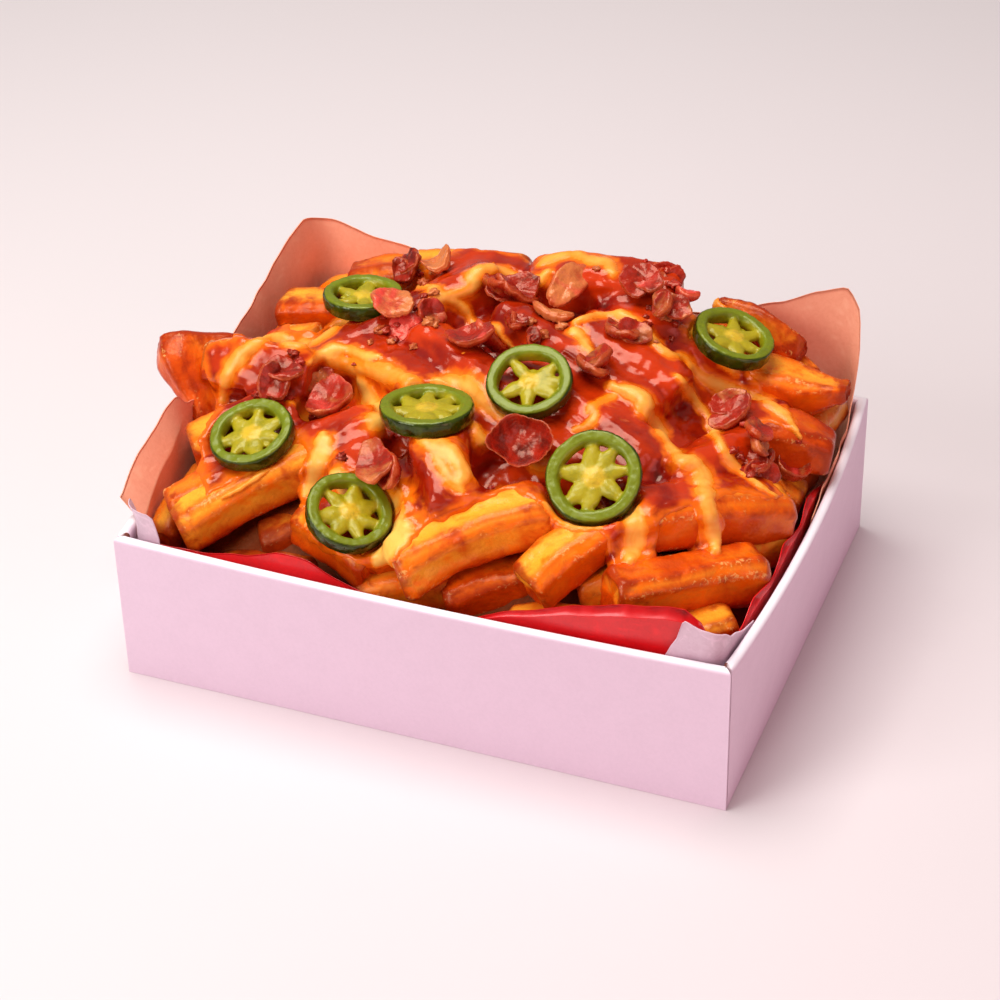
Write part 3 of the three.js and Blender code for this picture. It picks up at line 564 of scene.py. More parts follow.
@dataclass(frozen=True)
class PotatoFinish:
    """Fried potato: golden, browned along edges and at ends, with a random tone on each facet; painted
    shade makes it paler on top and deeper on its lower sides and buried parts, and pale flakes carry
    painted glints.
    """

    gold: Colour = linear(252, 114, 5)
    pale: Colour = linear(255, 172, 46)
    deep: Colour = linear(212, 68, 2)
    brown: Colour = linear(158, 36, 1)
    # pale crisp flakes whose colour also paints glints along the edges
    flake_and_glint: Colour = linear(255, 210, 122)
    # used for char specks and for painted shade on buried parts
    char_and_shade: Colour = linear(78, 16, 1)
    # warm tint on reflections: a painted reflection of reddish surroundings
    sheen: Colour = (1.0, 0.55, 0.25)

    def material(self) -> bpy.types.Material:
        """Makes the material."""
        g = Graph("fried_potato")
        names = ("along", "side", "rise")
        even = g.stretched(names, (1.0, 1.0, 1.0))
        streaked = g.stretched(names, (0.4, 1.0, 1.0))
        clouds = g.noise(even, 0.085, 3.0, 0.3)
        patches = g.noise(even, 0.24, 4.0, 0.5)
        streaks = g.noise(streaked, 0.5, 5.0, 0.6)
        grain = g.noise(even, 2.4, 4.0)
        blisters = g.cells(even, 0.8)
        # a random fry per facet plus painted shade that darkens the lower side
        fried_and_low_shade = g.reading("fried_and_low_shade")
        rimmed = g.reading("edge")
        buried_shade = g.reading("buried_shade")
        # paler where less fried and higher up; the height part is painted light
        light = clouds * 0.5 + patches * 0.6 + streaks * 0.1 - fried_and_low_shade * 0.22 - rimmed * 0.12
        shade = g.blend(light.between(0.3, 0.56), self.gold, self.pale)
        tone = g.reading("tone")
        cooked_and_low_shade = clouds * 0.8 + patches * 0.55 + fried_and_low_shade * 0.7 + tone * 0.42
        shade = g.blend(cooked_and_low_shade.between(0.86, 1.36) * 0.95, shade, self.deep)
        shade = g.blend(cooked_and_low_shade.between(1.26, 1.7) * 0.8, shade, self.brown)
        edge = rimmed * 0.48 + clouds * 0.5 + patches * 0.75 + streaks * 0.2 + tone * 0.25
        shade = g.blend(edge.between(0.95, 1.35) * 0.6, shade, self.deep)
        shade = g.blend(edge.between(1.18, 1.55) * 0.85, shade, self.brown)
        ends = g.reading("tip") * 0.66 + patches * 0.95 + tone * 0.2
        shade = g.blend(ends.between(0.72, 1.1) * 0.8, shade, self.brown)
        # pale flakes and painted glints near the crisp edges
        flake_and_glint_mask = rimmed * 0.4 + (1 - clouds) * 0.6 + g.noise(even, 0.9, 3.0, 0.8) * 0.8
        shade = g.blend(flake_and_glint_mask.between(1.14, 1.3) * 0.5, shade, self.flake_and_glint)
        specks = (1 - g.cells(even, 0.3)) * 0.6 + grain * 0.5 + fried_and_low_shade * 0.1
        shade = g.blend(specks.between(1.0, 1.1) * 0.6, shade, self.char_and_shade)
        shade = g.blend(grain.between(0.5, 0.7) * 0.18, shade, self.deep)
        # painted shade: buried wedges and the core darken towards the char colour
        shade = g.blend(buried_shade, shade, self.char_and_shade)
        height = grain * 0.15 + streaks * 0.3 + patches * 0.5 + (1 - blisters) * 0.25
        rough = 0.24 + patches * 0.12 + grain * 0.06 + buried_shade * 0.3
        return g.finish({
            "Base Color": shade,
            "Roughness": rough,
            "Normal": g.bump(height, 0.6, 0.55),
            "Specular IOR Level": 0.5,
            "Specular Tint": self.sheen,
            "Coat Weight": (1 - buried_shade) * 0.16,
            "Coat Roughness": 0.1,
            "Coat IOR": 1.45,
            "Subsurface Weight": 0.1,
            "Subsurface Radius": (0.003, 0.0015, 0.0006),
        })


@dataclass(frozen=True)
class SauceFinish:
    """Barbecue sauce with melted cheese run into it."""

    thin: Colour = linear(204, 54, 8)
    sauce: Colour = linear(134, 15, 4)
    pool: Colour = linear(72, 7, 3)
    mingled: Colour = linear(240, 108, 12)
    cheese: Colour = linear(252, 136, 18)
    # pale cream: creamier cheese and a painted highlight on strand crowns
    cream_and_highlight: Colour = linear(255, 194, 88)
    # pinkish tint on reflections: a painted reflection of reddish surroundings
    sheen: Colour = (1.0, 0.64, 0.5)

    def material(self) -> bpy.types.Material:
        """Makes the material."""
        g = Graph("sauce_and_cheese")
        place = g.place()
        clouds = g.noise(place, 60.0, 3.0, 0.8)
        swirls = g.noise(place, 150.0, 4.0, 1.6)
        fine = g.noise(place, 420.0, 3.0)
        depth = g.reading("depth")
        shade = g.blend((clouds * 0.9 + depth * 0.6).between(0.3, 0.66), self.thin, self.sauce)
        shade = g.blend((depth * 0.8 + clouds * 0.6).between(0.6, 1.1) * 0.9, shade, self.pool)
        thinned = g.reading("thin") + (swirls - 0.5) * 0.9
        shade = g.blend(thinned.between(0.1, 0.9) * 0.9, shade, self.mingled)
        halo = g.reading("halo") * 0.9 + (swirls - 0.5) * 1.3 + (clouds - 0.5) * 0.5
        shade = g.blend(halo.between(0.2, 0.95) * 0.95, shade, self.mingled)
        shade = g.blend(halo.between(0.75, 1.25) * 0.7, shade, self.cheese)
        cheese = g.reading("cheese") + (fine - 0.5) * 0.15
        # strand crowns paler: creamier cheese with a painted highlight
        body = g.blend(g.reading("crown_highlight") + (swirls - 0.5) * 1.2, self.cheese, self.cream_and_highlight)
        shade = g.blend(cheese.between(0.2, 0.8), shade, body)
        rough = 0.14 + fine * 0.06 + g.reading("cheese") * 0.16
        return g.finish({
            "Base Color": shade,
            "Roughness": rough,
            "Normal": g.bump(fine * 0.5 + clouds * 0.5, 0.15, 0.15),
            "Specular IOR Level": 0.6,
            "Specular Tint": self.sheen,
            "Coat Weight": 0.06,
            "Coat Roughness": 0.14,
            "Subsurface Weight": 0.1,
            "Subsurface Radius": (0.003, 0.0012, 0.0005),
        })


@dataclass(frozen=True)
class ChilliFinish:
    """A slice of green chilli: glossy skin, paler wall, yellow ribs."""

    skin: Colour = linear(54, 68, 3)
    skin_deep: Colour = linear(28, 36, 2)
    wall: Colour = linear(116, 126, 10)
    rib: Colour = linear(172, 154, 18)
    heart: Colour = linear(214, 176, 44)

    def material(self) -> bpy.types.Material:
        """Makes the material."""
        g = Graph("green_chilli")
        place = g.place()
        clouds = g.noise(place, 260.0, 3.0)
        grain = g.noise(place, 1500.0, 3.0)
        flesh = g.blend(g.reading("wall"), self.rib, self.wall)
        flesh = g.blend((g.reading("heart") + clouds * 0.4).between(0.5, 1.1), flesh, self.heart)
        shadow = (clouds * 0.7 + grain * 0.3).between(0.45, 0.7) * 0.4
        flesh = g.blend(shadow, flesh, tuple(c * 0.6 for c in self.wall))
        skin = g.blend(clouds.between(0.35, 0.7), self.skin, self.skin_deep)
        shade = g.blend(g.reading("skin"), flesh, skin)
        rough = 0.3 - g.reading("skin") * 0.18 + grain * 0.1
        return g.finish({
            "Base Color": shade,
            "Roughness": rough,
            "Normal": g.bump(grain * 0.5 + clouds * 0.5, 0.25, 0.4),
            "Specular IOR Level": 0.5,
            "Specular Tint": (0.9, 1.0, 0.6),
            "Coat Weight": 0.12,
            "Coat Roughness": 0.08,
            "Subsurface Weight": 0.15,
            "Subsurface Radius": (0.0015, 0.002, 0.0005),
        })


@dataclass(frozen=True)
class BaconFinish:
    """Fried bacon: red-brown meat, with pink and tan bands of fat, and crisp rims."""

    meat: Colour = linear(170, 34, 15)
    dark: Colour = linear(92, 13, 6)
    pink: Colour = linear(232, 72, 60)
    tan: Colour = linear(210, 118, 62)
    crisp: Colour = linear(190, 78, 30)
    # warm tint on reflections: a painted reflection of reddish surroundings
    sheen: Colour = (1.0, 0.6, 0.4)

    def material(self) -> bpy.types.Material:
        """Makes the material."""
        g = Graph("fried_bacon")
        place = g.place()
        clouds = g.noise(place, 210.0, 4.0, 0.8)
        grain = g.noise(place, 1300.0, 4.0)
        pores = g.cells(place, 1100.0)
        shade = g.blend((clouds * 0.9 + grain * 0.2).between(0.42, 0.78), self.meat, self.dark)
        shade = g.blend((g.reading("pink") + (clouds - 0.5) * 0.9).between(0.3, 0.8), shade, self.pink)
        shade = g.blend((g.reading("tan") + (clouds - 0.5) * 0.9).between(0.35, 0.85), shade, self.tan)
        shade = g.blend((grain * 0.6 + pores * 0.5).between(0.55, 0.85) * 0.2, shade, self.dark)
        rim = g.reading("rim") + (grain - 0.5) * 0.9
        shade = g.blend(rim.between(0.55, 1.0) * 0.6, shade, self.crisp)
        return g.finish({
            "Base Color": shade,
            "Roughness": 0.2 + grain * 0.16,
            "Normal": g.bump(grain * 0.4 + pores * 0.6, 0.35, 0.4),
            "Specular IOR Level": 0.6,
            "Specular Tint": self.sheen,
            "Coat Weight": 0.16,
            "Coat Roughness": 0.12,
            "Subsurface Weight": 0.05,
            "Subsurface Radius": (0.002, 0.0008, 0.0004),
        })


# The photograph's camera


@dataclass(frozen=True)
class Viewpoint:
    """The photograph's camera, worked out from the box's corners: angles in degrees."""

    azimuth: float = 21.639
    elevation: float = 35.004
    roll: float = -1.32
    focal_pixels: float = 2788.3
    shift: Point = (1.782, -28.8, -832.792)
    frame: int = 1000
    sensor: float = 36.0

    def axes(self) -> Array:
        """The camera's right, up and back directions, as rows."""
        az, el, roll = np.radians([self.azimuth, self.elevation, self.roll])
        back = np.array([np.sin(az) * np.cos(el), -np.cos(az) * np.cos(el), np.sin(el)])
        right = unit(np.cross([0.0, 0.0, 1.0], back))
        up = np.cross(back, right)
        c, s = np.cos(roll), np.sin(roll)
        return np.array([c * right + s * up, c * up - s * right, back])

    def eye(self) -> Array:
        """Where the camera stands."""
        return -self.axes().T @ np.array(self.shift)

    def pixels(self, points: Array) -> Array:
        """Where points show in the picture."""
        seen = points @ self.axes().T + np.array(self.shift)
        scale = self.focal_pixels / -seen[:, 2:]
        return np.hstack([self.frame / 2 + seen[:, :1] * scale, self.frame / 2 - seen[:, 1:2] * scale])

    def sight(self, tree: BVHTree, pixel: Pixel) -> Array | None:
        """The first point of a surface that shows at a pixel, if any does."""
        half = self.frame / 2
        aside, up = (pixel[0] - half) / self.focal_pixels, (half - pixel[1]) / self.focal_pixels
        aim = np.array([aside, up, -1.0])
        hit = tree.ray_cast(Vector(self.eye()), Vector(self.axes().T @ aim).normalized())[0]
        return None if hit is None else np.array(hit)

    def place(self) -> None:
        """Makes the scene's camera."""
        lens = bpy.data.cameras.new("camera")
        lens.sensor_width = self.sensor
        lens.lens = self.focal_pixels * self.sensor / self.frame
        lens.clip_end = 10.0
        camera = bpy.data.objects.new("camera", lens)
        spot = Matrix(self.axes().T.tolist()).to_4x4()
        spot.translation = Vector(self.eye() * MM)
        camera.matrix_world = spot
        bpy.context.scene.collection.objects.link(camera)
        bpy.context.scene.camera = camera


# The card box


class Side(Enum):
    """The box's walls in clockwise order from the front left corner, seen from above.

    Each has its first and last corner, its outward direction, and how far it bulges.
    """

    LEFT = ((-1, -1), (-1, 1), (-1, 0), 3.0)
    REAR = ((-1, 1), (1, 1), (0, 1), 2.0)
    RIGHT = ((1, 1), (1, -1), (1, 0), 4.3)
    FRONT = ((1, -1), (-1, -1), (0, -1), 2.0)


@dataclass(frozen=True)
class CardBox:
    """The low box of folded card, with a rolled rim and a slit at its front corners."""

    width: float = 180.0
    depth: float = 140.0
    height: float = 47.5
    wall: float = 3.0
    floor: float = 2.0
    bulge_power: float = 1.5
    slit_width: float = 0.8
    slit_depth: float = 1.2
    slit_setback: float = 0.5
    notch: float = 2.2
    steps: int = 40
    sharp_from: float = 38.0

    def bulge(self, side: Side, along: float, z: float) -> float:
        """How far a wall stands out at a place from -1 to 1 along it, and a height."""
        lift = min(max(z / self.height, 0.0), 1.0)
        return side.value[3] * (1 - along * along) * lift**self.bulge_power

    def _slit(self, z: float) -> tuple[float, float]:
        """The slit's width and depth at a height: it opens into a small notch under the rim."""
        opening = max(0.0, 1 - (self.height - z) / self.notch)
        return self.slit_width * (1 + 1.2 * opening), self.slit_depth + 0.9 * opening

    def loop(self, inset: float, z: float) -> tuple[Array, Array]:
        """One loop round the box, and how far each of its points is inside a slit."""
        a, b = self.width / 2 - inset, self.depth / 2 - inset
        width, deep = self._slit(z)
        deep = max(0.0, deep - inset)
        first = max(-self.depth / 2 + self.slit_setback, -b + 0.02)
        last = max(first + width, -b + 0.06)
        us = np.linspace(-1, 1, self.steps + 1)
        points, slit_edge_and_shade = [], []

        def put(x: float, y: float, inside: float = 0.0) -> None:
            """Adds a point."""
            points.append((x, y, z))
            slit_edge_and_shade.append(inside)

        for u in us[:-1]:
            put(u * a, -b - self.bulge(Side.FRONT, u, z))
        put(a, -b)
        put(a, first)
        put(a - deep, first + 0.01, 1.0)
        put(a - deep, last - 0.01, 1.0)
        put(a, last)
        for u in us[1:]:
            put(a + self.bulge(Side.RIGHT, u, z), u * b)
        for u in us[1:]:
            put(-u * a, b + self.bulge(Side.REAR, u, z))
        for u in us[1:-1]:
            put(-a - self.bulge(Side.LEFT, u, z), -u * b)
        put(-a, last)
        put(-a + deep, last - 0.01, 1.0)
        put(-a + deep, first + 0.01, 1.0)
        put(-a, first)
        return np.array(points), np.array(slit_edge_and_shade)

    def skin(self) -> Skin:
        """The box's whole surface."""
        radius = self.wall / 2
        steps = [(0.0, 0.0, 0.0), (0.0, 0.4, 0.0)]
        steps += [(0.0, z, 0.0) for z in np.linspace(4, self.height - self.notch - 0.6, 12)]
        steps += [(0.0, self.height - self.notch, 0.0), (0.0, self.height - radius - 0.25, 0.0)]
        # rim share: how far the painted rim highlight whitens each ring
        for turn in np.linspace(0, np.pi, 17):
            lift = self.height - radius * (1 - math.sin(turn))
            white = min(max((turn - 0.35) / 0.5, 0.0), 1.0)
            steps.append((radius * (1 - math.cos(turn)), lift, white if turn < 2.2 else 0.5))
        steps += [(self.wall, z, 0.4) for z in np.linspace(self.height - radius - 1, self.floor, 10)]
        rings, slit_edge_and_shade, rim = [], [], []
        for inset, z, share in steps:
            points, inside = self.loop(inset, z)
            rings.append(points)
            slit_edge_and_shade.append(inside)
            rim.append(np.full(len(points), share))
        skin = tube_skin(rings)
        ends = np.zeros(2)
        skin.values = {"rim": np.concatenate([*rim, ends]), "slit_edge_and_shade": np.concatenate([*slit_edge_and_shade, ends])}
        return skin

    def build(self) -> None:
        """Adds the box."""
        piece = add_piece("card_box", self.skin(), CardFinish().material(), ["box"])
        piece.data.set_sharp_from_angle(angle=math.radians(self.sharp_from))


# Paper liners


@dataclass(frozen=True)
class Cavity:
    """The inside of the box's walls, walked round from its front left corner."""

    box: CardBox
    corner: float = 7.0

    @property
    def x(self) -> float:
        """Half its width."""
        return self.box.width / 2 - self.box.wall

    @property
    def y(self) -> float:
        """Half its depth."""
        return self.box.depth / 2 - self.box.wall

    def over_rear(self, side: Side, place: float) -> float:
        """Distance round to an x or y of a wall, clockwise over the rear wall."""
        starts = {Side.LEFT: self.y + place, Side.REAR: 2 * self.y + self.x + place}
        return starts.get(side, 3 * self.y + 2 * self.x - place)

    def over_front(self, side: Side, place: float) -> float:
        """The same, counted backwards over the front wall."""
        starts = {Side.LEFT: self.y + place, Side.FRONT: -self.x - place}
        return starts.get(side, -2 * self.x - self.y - place)

    def _on_wall(self, index: int, distance: float, z: float) -> tuple[Array, Array, float]:
        """Point, outward direction and bulge at a distance along one wall."""
        side = list(Side)[index % 4]
        first, last, out, _ = side.value
        t = distance / self._lengths()[index % 4]
        point = np.array([mix(first[0], last[0], t) * self.x, mix(first[1], last[1], t) * self.y])
        return point, np.array(out, float), self.box.bulge(side, 2 * t - 1, z)

    def _lengths(self) -> list[float]:
        """Lengths of the four walls."""
        return [2 * self.y, 2 * self.x] * 2

    def wall(self, around: float, z: float) -> tuple[Array, Array, float]:
        """Point, outward direction and bulge at a distance round, and a height.

        Args:
            around: Distance round the cavity.
            z: Height.

        Returns:
            The same three as on one wall, with the corners rounded off.
        """
        lengths = self._lengths()
        rest = around % sum(lengths)
        index = 0
        while rest > lengths[index]:
            rest -= lengths[index]
            index = (index + 1) % 4
        length = lengths[index]
        reach = min(rest, length - rest)
        if reach >= self.corner:
            return self._on_wall(index, rest, z)
        at_end = rest > length / 2
        back = (index + 3) % 4
        before = (index, length - self.corner) if at_end else (back, lengths[back] - self.corner)
        after = (index + 1, self.corner) if at_end else (index, self.corner)
        p0, out0, bulge0 = self._on_wall(*before, z)
        p1 = self._on_wall(index, length if at_end else 0.0, z)[0]
        p2, out2, bulge2 = self._on_wall(*after, z)
        t = (self.corner + (-reach if at_end else reach)) / (2 * self.corner)
        point = p0 * (1 - t) ** 2 + p1 * 2 * t * (1 - t) + p2 * t * t
        return point, unit(mix(1, 0, t) * out0 + t * out2), mix(bulge0, bulge2, t)


@dataclass(frozen=True)
class PaperSheet:
    """A paper sheet that stands against the walls.

    Each station of its top edge is a wall, a place along it, a height, and how far the sheet
    leans outwards there.
    """

    name: str
    node: str
    slot: str
    finish: PaperFinish
    top: tuple[tuple[Side, float, float, float], ...]
    over_front: bool
    inset: float = 0.6
    bottom: float = 2.3
    thickness: float = 0.28
    fold_power: float = 2.2
    step: float = 1.6
    rows: int = 30
    wave: float = 0.8
    seed: int = 1
    hinge: tuple[float, float] = (0.0, -99.0)

    def _line(self, cavity: Cavity, around: float, top: float, lean: float) -> tuple[Array, Array]:
        """One upright line of the sheet.

        Args:
            cavity: The walls that the sheet stands against.
            around: The line's distance round them.
            top: The height of its upper end.
            lean: How far that end leans outwards.

        Returns:
            Its points on each of the sheet's two faces, and how strongly a highlight is painted along
            its folds and crumples there.
        """
        lumps = Lumps(self.seed)
        knee = min(cavity.box.height, mix(self.bottom, top, 0.75))
        low, high = np.linspace(self.bottom, knee, self.rows // 3), np.linspace(knee, top, self.rows)
        zs = np.concatenate([low, high[1:]])
        over = np.clip((zs - knee) / max(top - knee, 0.01), 0, 1)
        flat = np.stack([np.full(len(zs), around), zs, zs * 0], 1)
        waves = lumps.at(flat * (1, 0.45, 1), 16.0, 2)
        free = smooth_step(knee - 4, knee + 6, zs)
        width, until = self.hinge
        hinged = float(smooth_step(until + 5, until - 5, np.array(around)))
        margin = np.clip((zs - top) / max(width, 0.01) + 1, 0, 1)
        over = hinged * margin + (1 - hinged) * over**self.fold_power
        sway = waves * (0.16 + self.wave * free)
        crumple = np.abs(lumps.at(flat + 50, 11.0, 2))
        # painted highlight along the hinge fold and the crumples
        folded = hinged * np.exp(-(((zs - top + width) / 0.4) ** 2))
        crease_highlight = np.clip((1 - smooth_step(0.0, 0.06, crumple)) * 0.5 * free + folded, 0, 1)
        faces = [[], []]
        for face, depth in zip(faces, (self.inset + 0.2, self.inset + 0.2 + self.thickness)):
            for z, share, side in zip(zs, over, sway):
                point, out, bulge = cavity.wall(around, float(z))
                reach = bulge - depth + lean * share - abs(side) * (z < knee) + side * (z >= knee)
                face.append((*(point + out * reach), z))
        return np.array(faces), crease_highlight

    def _quads(self, count: int, rows: int) -> Indices:
        """Faces of the sheet's two sides and its edge, for a count of lines with rows of points."""
        half, ends = count * rows, (count - 1) * rows
        front = grid_quads(count, rows, False)
        back = front[:, ::-1] + half
        c, r = np.arange(count - 1) * rows, np.arange(rows - 1)
        top = c + rows - 1
        rims = [
            np.stack([c, c + half, c + rows + half, c + rows], 1),
            np.stack([top, top + rows, top + rows + half, top + half], 1),
            np.stack([r, r + 1, r + 1 + half, r + half], 1),
            np.stack([ends + r, ends + r + half, ends + r + 1 + half, ends + r + 1], 1),
        ]
        return np.vstack([front, back, *rims])

    def skin(self, cavity: Cavity) -> Skin:
        """The sheet's two faces and its edge."""
        walk = cavity.over_front if self.over_front else cavity.over_rear
        stations = sorted((walk(side, place), z, lean) for side, place, z, lean in self.top)
        heights = tuple((s, z) for s, z, _ in stations)
        leans = tuple((s, lean) for s, _, lean in stations)
        places = np.append(np.arange(stations[0][0], stations[-1][0], self.step), stations[-1][0])
        ragged = Lumps(self.seed).at(np.stack([places, places * 0, places * 0], 1), 9.0, 3)
        lines, crease_highlights = [], []
        for around, rag in zip(places, ragged):
            top = float(profile(heights, around)) + 0.25 * rag
            line, crease_highlight = self._line(cavity, around, top, float(profile(leans, around)))
            lines.append(line)
            crease_highlights.append(crease_highlight)
        grid = np.array(lines).swapaxes(0, 1)
        values = {"crease_highlight": np.tile(np.concatenate(crease_highlights), 2)}
        return Skin(grid.reshape(-1, 3), self._quads(*grid.shape[1:3]), values=values)

    def build(self, cavity: Cavity) -> None:
        """Adds the sheet."""
        add_piece(self.name, self.skin(cavity), self.finish.material(), [self.node])


KRAFT = PaperSheet(
    name="kraft_sheet",
    node="liner_kraft",
    slot="kraft_paper",
    # salmon pink: brown kraft paper with a painted tint of reddish bounced light
    finish=PaperFinish("kraft_paper", linear(250, 172, 138), linear(232, 138, 104), 0.72),
    hinge=(7.5, 41.0),
    over_front=False,
    fold_power=1.6,
    seed=5,
    top=(
        (Side.LEFT, -59.5, 54, 6), (Side.LEFT, -51, 58, 6), (Side.LEFT, -37, 62.5, 4.5),
        (Side.LEFT, -30, 65.5, 3.5), (Side.LEFT, -25, 67, 2), (Side.LEFT, -20, 62, 1),
        (Side.LEFT, -10, 59, 0.5), (Side.LEFT, -2, 58, 0), (Side.LEFT, 8, 66, 1),
        (Side.LEFT, 20, 67.5, 2), (Side.LEFT, 34, 71, 2.5), (Side.LEFT, 50, 76, 3),
        (Side.LEFT, 62, 79, 3), (Side.REAR, -84, 77, 3), (Side.REAR, -64, 73, 2),
        (Side.REAR, -50, 71, 1), (Side.REAR, -25, 66, 1), (Side.REAR, 5, 63, 1),
        (Side.REAR, 40, 67, 1), (Side.REAR, 62, 76, 1), (Side.REAR, 74, 82, 1),
        (Side.REAR, 82, 85, 1), (Side.RIGHT, 66, 79, 2), (Side.RIGHT, 63, 66, 2),
        (Side.RIGHT, 59, 52, 1), (Side.RIGHT, 50, 48.6, 0.4), (Side.RIGHT, 20, 48.6, 0.4),
        (Side.RIGHT, 6, 46, 0),
    ),
)

RED = PaperSheet(
    name="red_sheet",
    node="liner_red",
    slot="red_paper",
    finish=PaperFinish("red_paper", linear(222, 6, 16), linear(172, 0, 10), 0.3, 0.02, 0.35, 0.35),
    over_front=True,
    inset=1.6,
    wave=0.5,
    seed=8,
    top=(
        (Side.LEFT, -24, 42, 0), (Side.LEFT, -40, 46, -1), (Side.LEFT, -58, 44, 0),
        (Side.FRONT, -83, 45, -0.5), (Side.FRONT, -66, 45, -1), (Side.FRONT, -53, 47, -1.5),
        (Side.FRONT, -42, 50, -2), (Side.FRONT, -34, 50, -2), (Side.FRONT, -24, 46.5, -1),
        (Side.FRONT, -10, 43, 0), (Side.FRONT, 12, 43, 0), (Side.FRONT, 30, 49, -2),
        (Side.FRONT, 45, 53, -3.5), (Side.FRONT, 60, 56, -4.5), (Side.FRONT, 74, 57.5, -4.5),
        (Side.FRONT, 80, 55, -3), (Side.FRONT, 84, 44, 0), (Side.RIGHT, -60, 43, 0),
        (Side.RIGHT, -48, 46, -0.5), (Side.RIGHT, -38, 48.5, -1.5), (Side.RIGHT, -24, 46.5, -0.5),
        (Side.RIGHT, -12, 49, -1.5), (Side.RIGHT, 0, 46.5, -0.5), (Side.RIGHT, 12, 48.5, -1.5),
        (Side.RIGHT, 26, 45, 0),
    ),
)

# pinkish grey: white paper with a painted tint of reddish bounced light
WHITE_PAPER = PaperFinish("white_paper", linear(222, 194, 206), linear(196, 158, 172), 0.5, 0.02)

LEFT_CORNER = PaperSheet(
    name="left_corner",
    node="flap_left",
    slot="white_paper",
    finish=WHITE_PAPER,
    over_front=True,
    bottom=36.0,
    step=0.8,
    wave=0.3,
    seed=3,
    top=(
        (Side.LEFT, -61, 55.5, 2), (Side.FRONT, -85, 56, 1), (Side.FRONT, -80.5, 55.5, 0.5),
        (Side.FRONT, -78.8, 54, 0), (Side.FRONT, -77.4, 47.5, 0),
    ),
)

RIGHT_CORNER = PaperSheet(
    name="right_corner",
    node="flap_right",
    slot="white_paper",
    finish=WHITE_PAPER,
    over_front=True,
    bottom=36.0,
    step=0.8,
    wave=0.3,
    seed=4,
    top=(
        (Side.FRONT, 70, 44, 0), (Side.FRONT, 73.5, 51, 0), (Side.FRONT, 76, 59, 0.5),
        (Side.FRONT, 81, 57, 0.5), (Side.RIGHT, -65, 55, 0.5), (Side.RIGHT, -58, 50.5, 0),
        (Side.RIGHT, -50, 47, 0), (Side.RIGHT, -44, 45.5, 0),
    ),
)


# The heap of wedges


class Section(Enum):
    """Sections across a wedge, as [across, up] points from -1 to 1."""

    BATON = (
        (1, -0.62), (1, 0.6), (0.66, 1), (-0.6, 1), (-1, 0.62), (-1, -0.66), (-0.62, -1), (0.64, -1),
    )
    RIDGED = (
        (1, -0.55), (0.86, -0.1), (0.2, 0.9), (-0.12, 1), (-0.9, -0.1), (-1, -0.6), (-0.5, -0.95),
        (0.5, -0.95),
    )


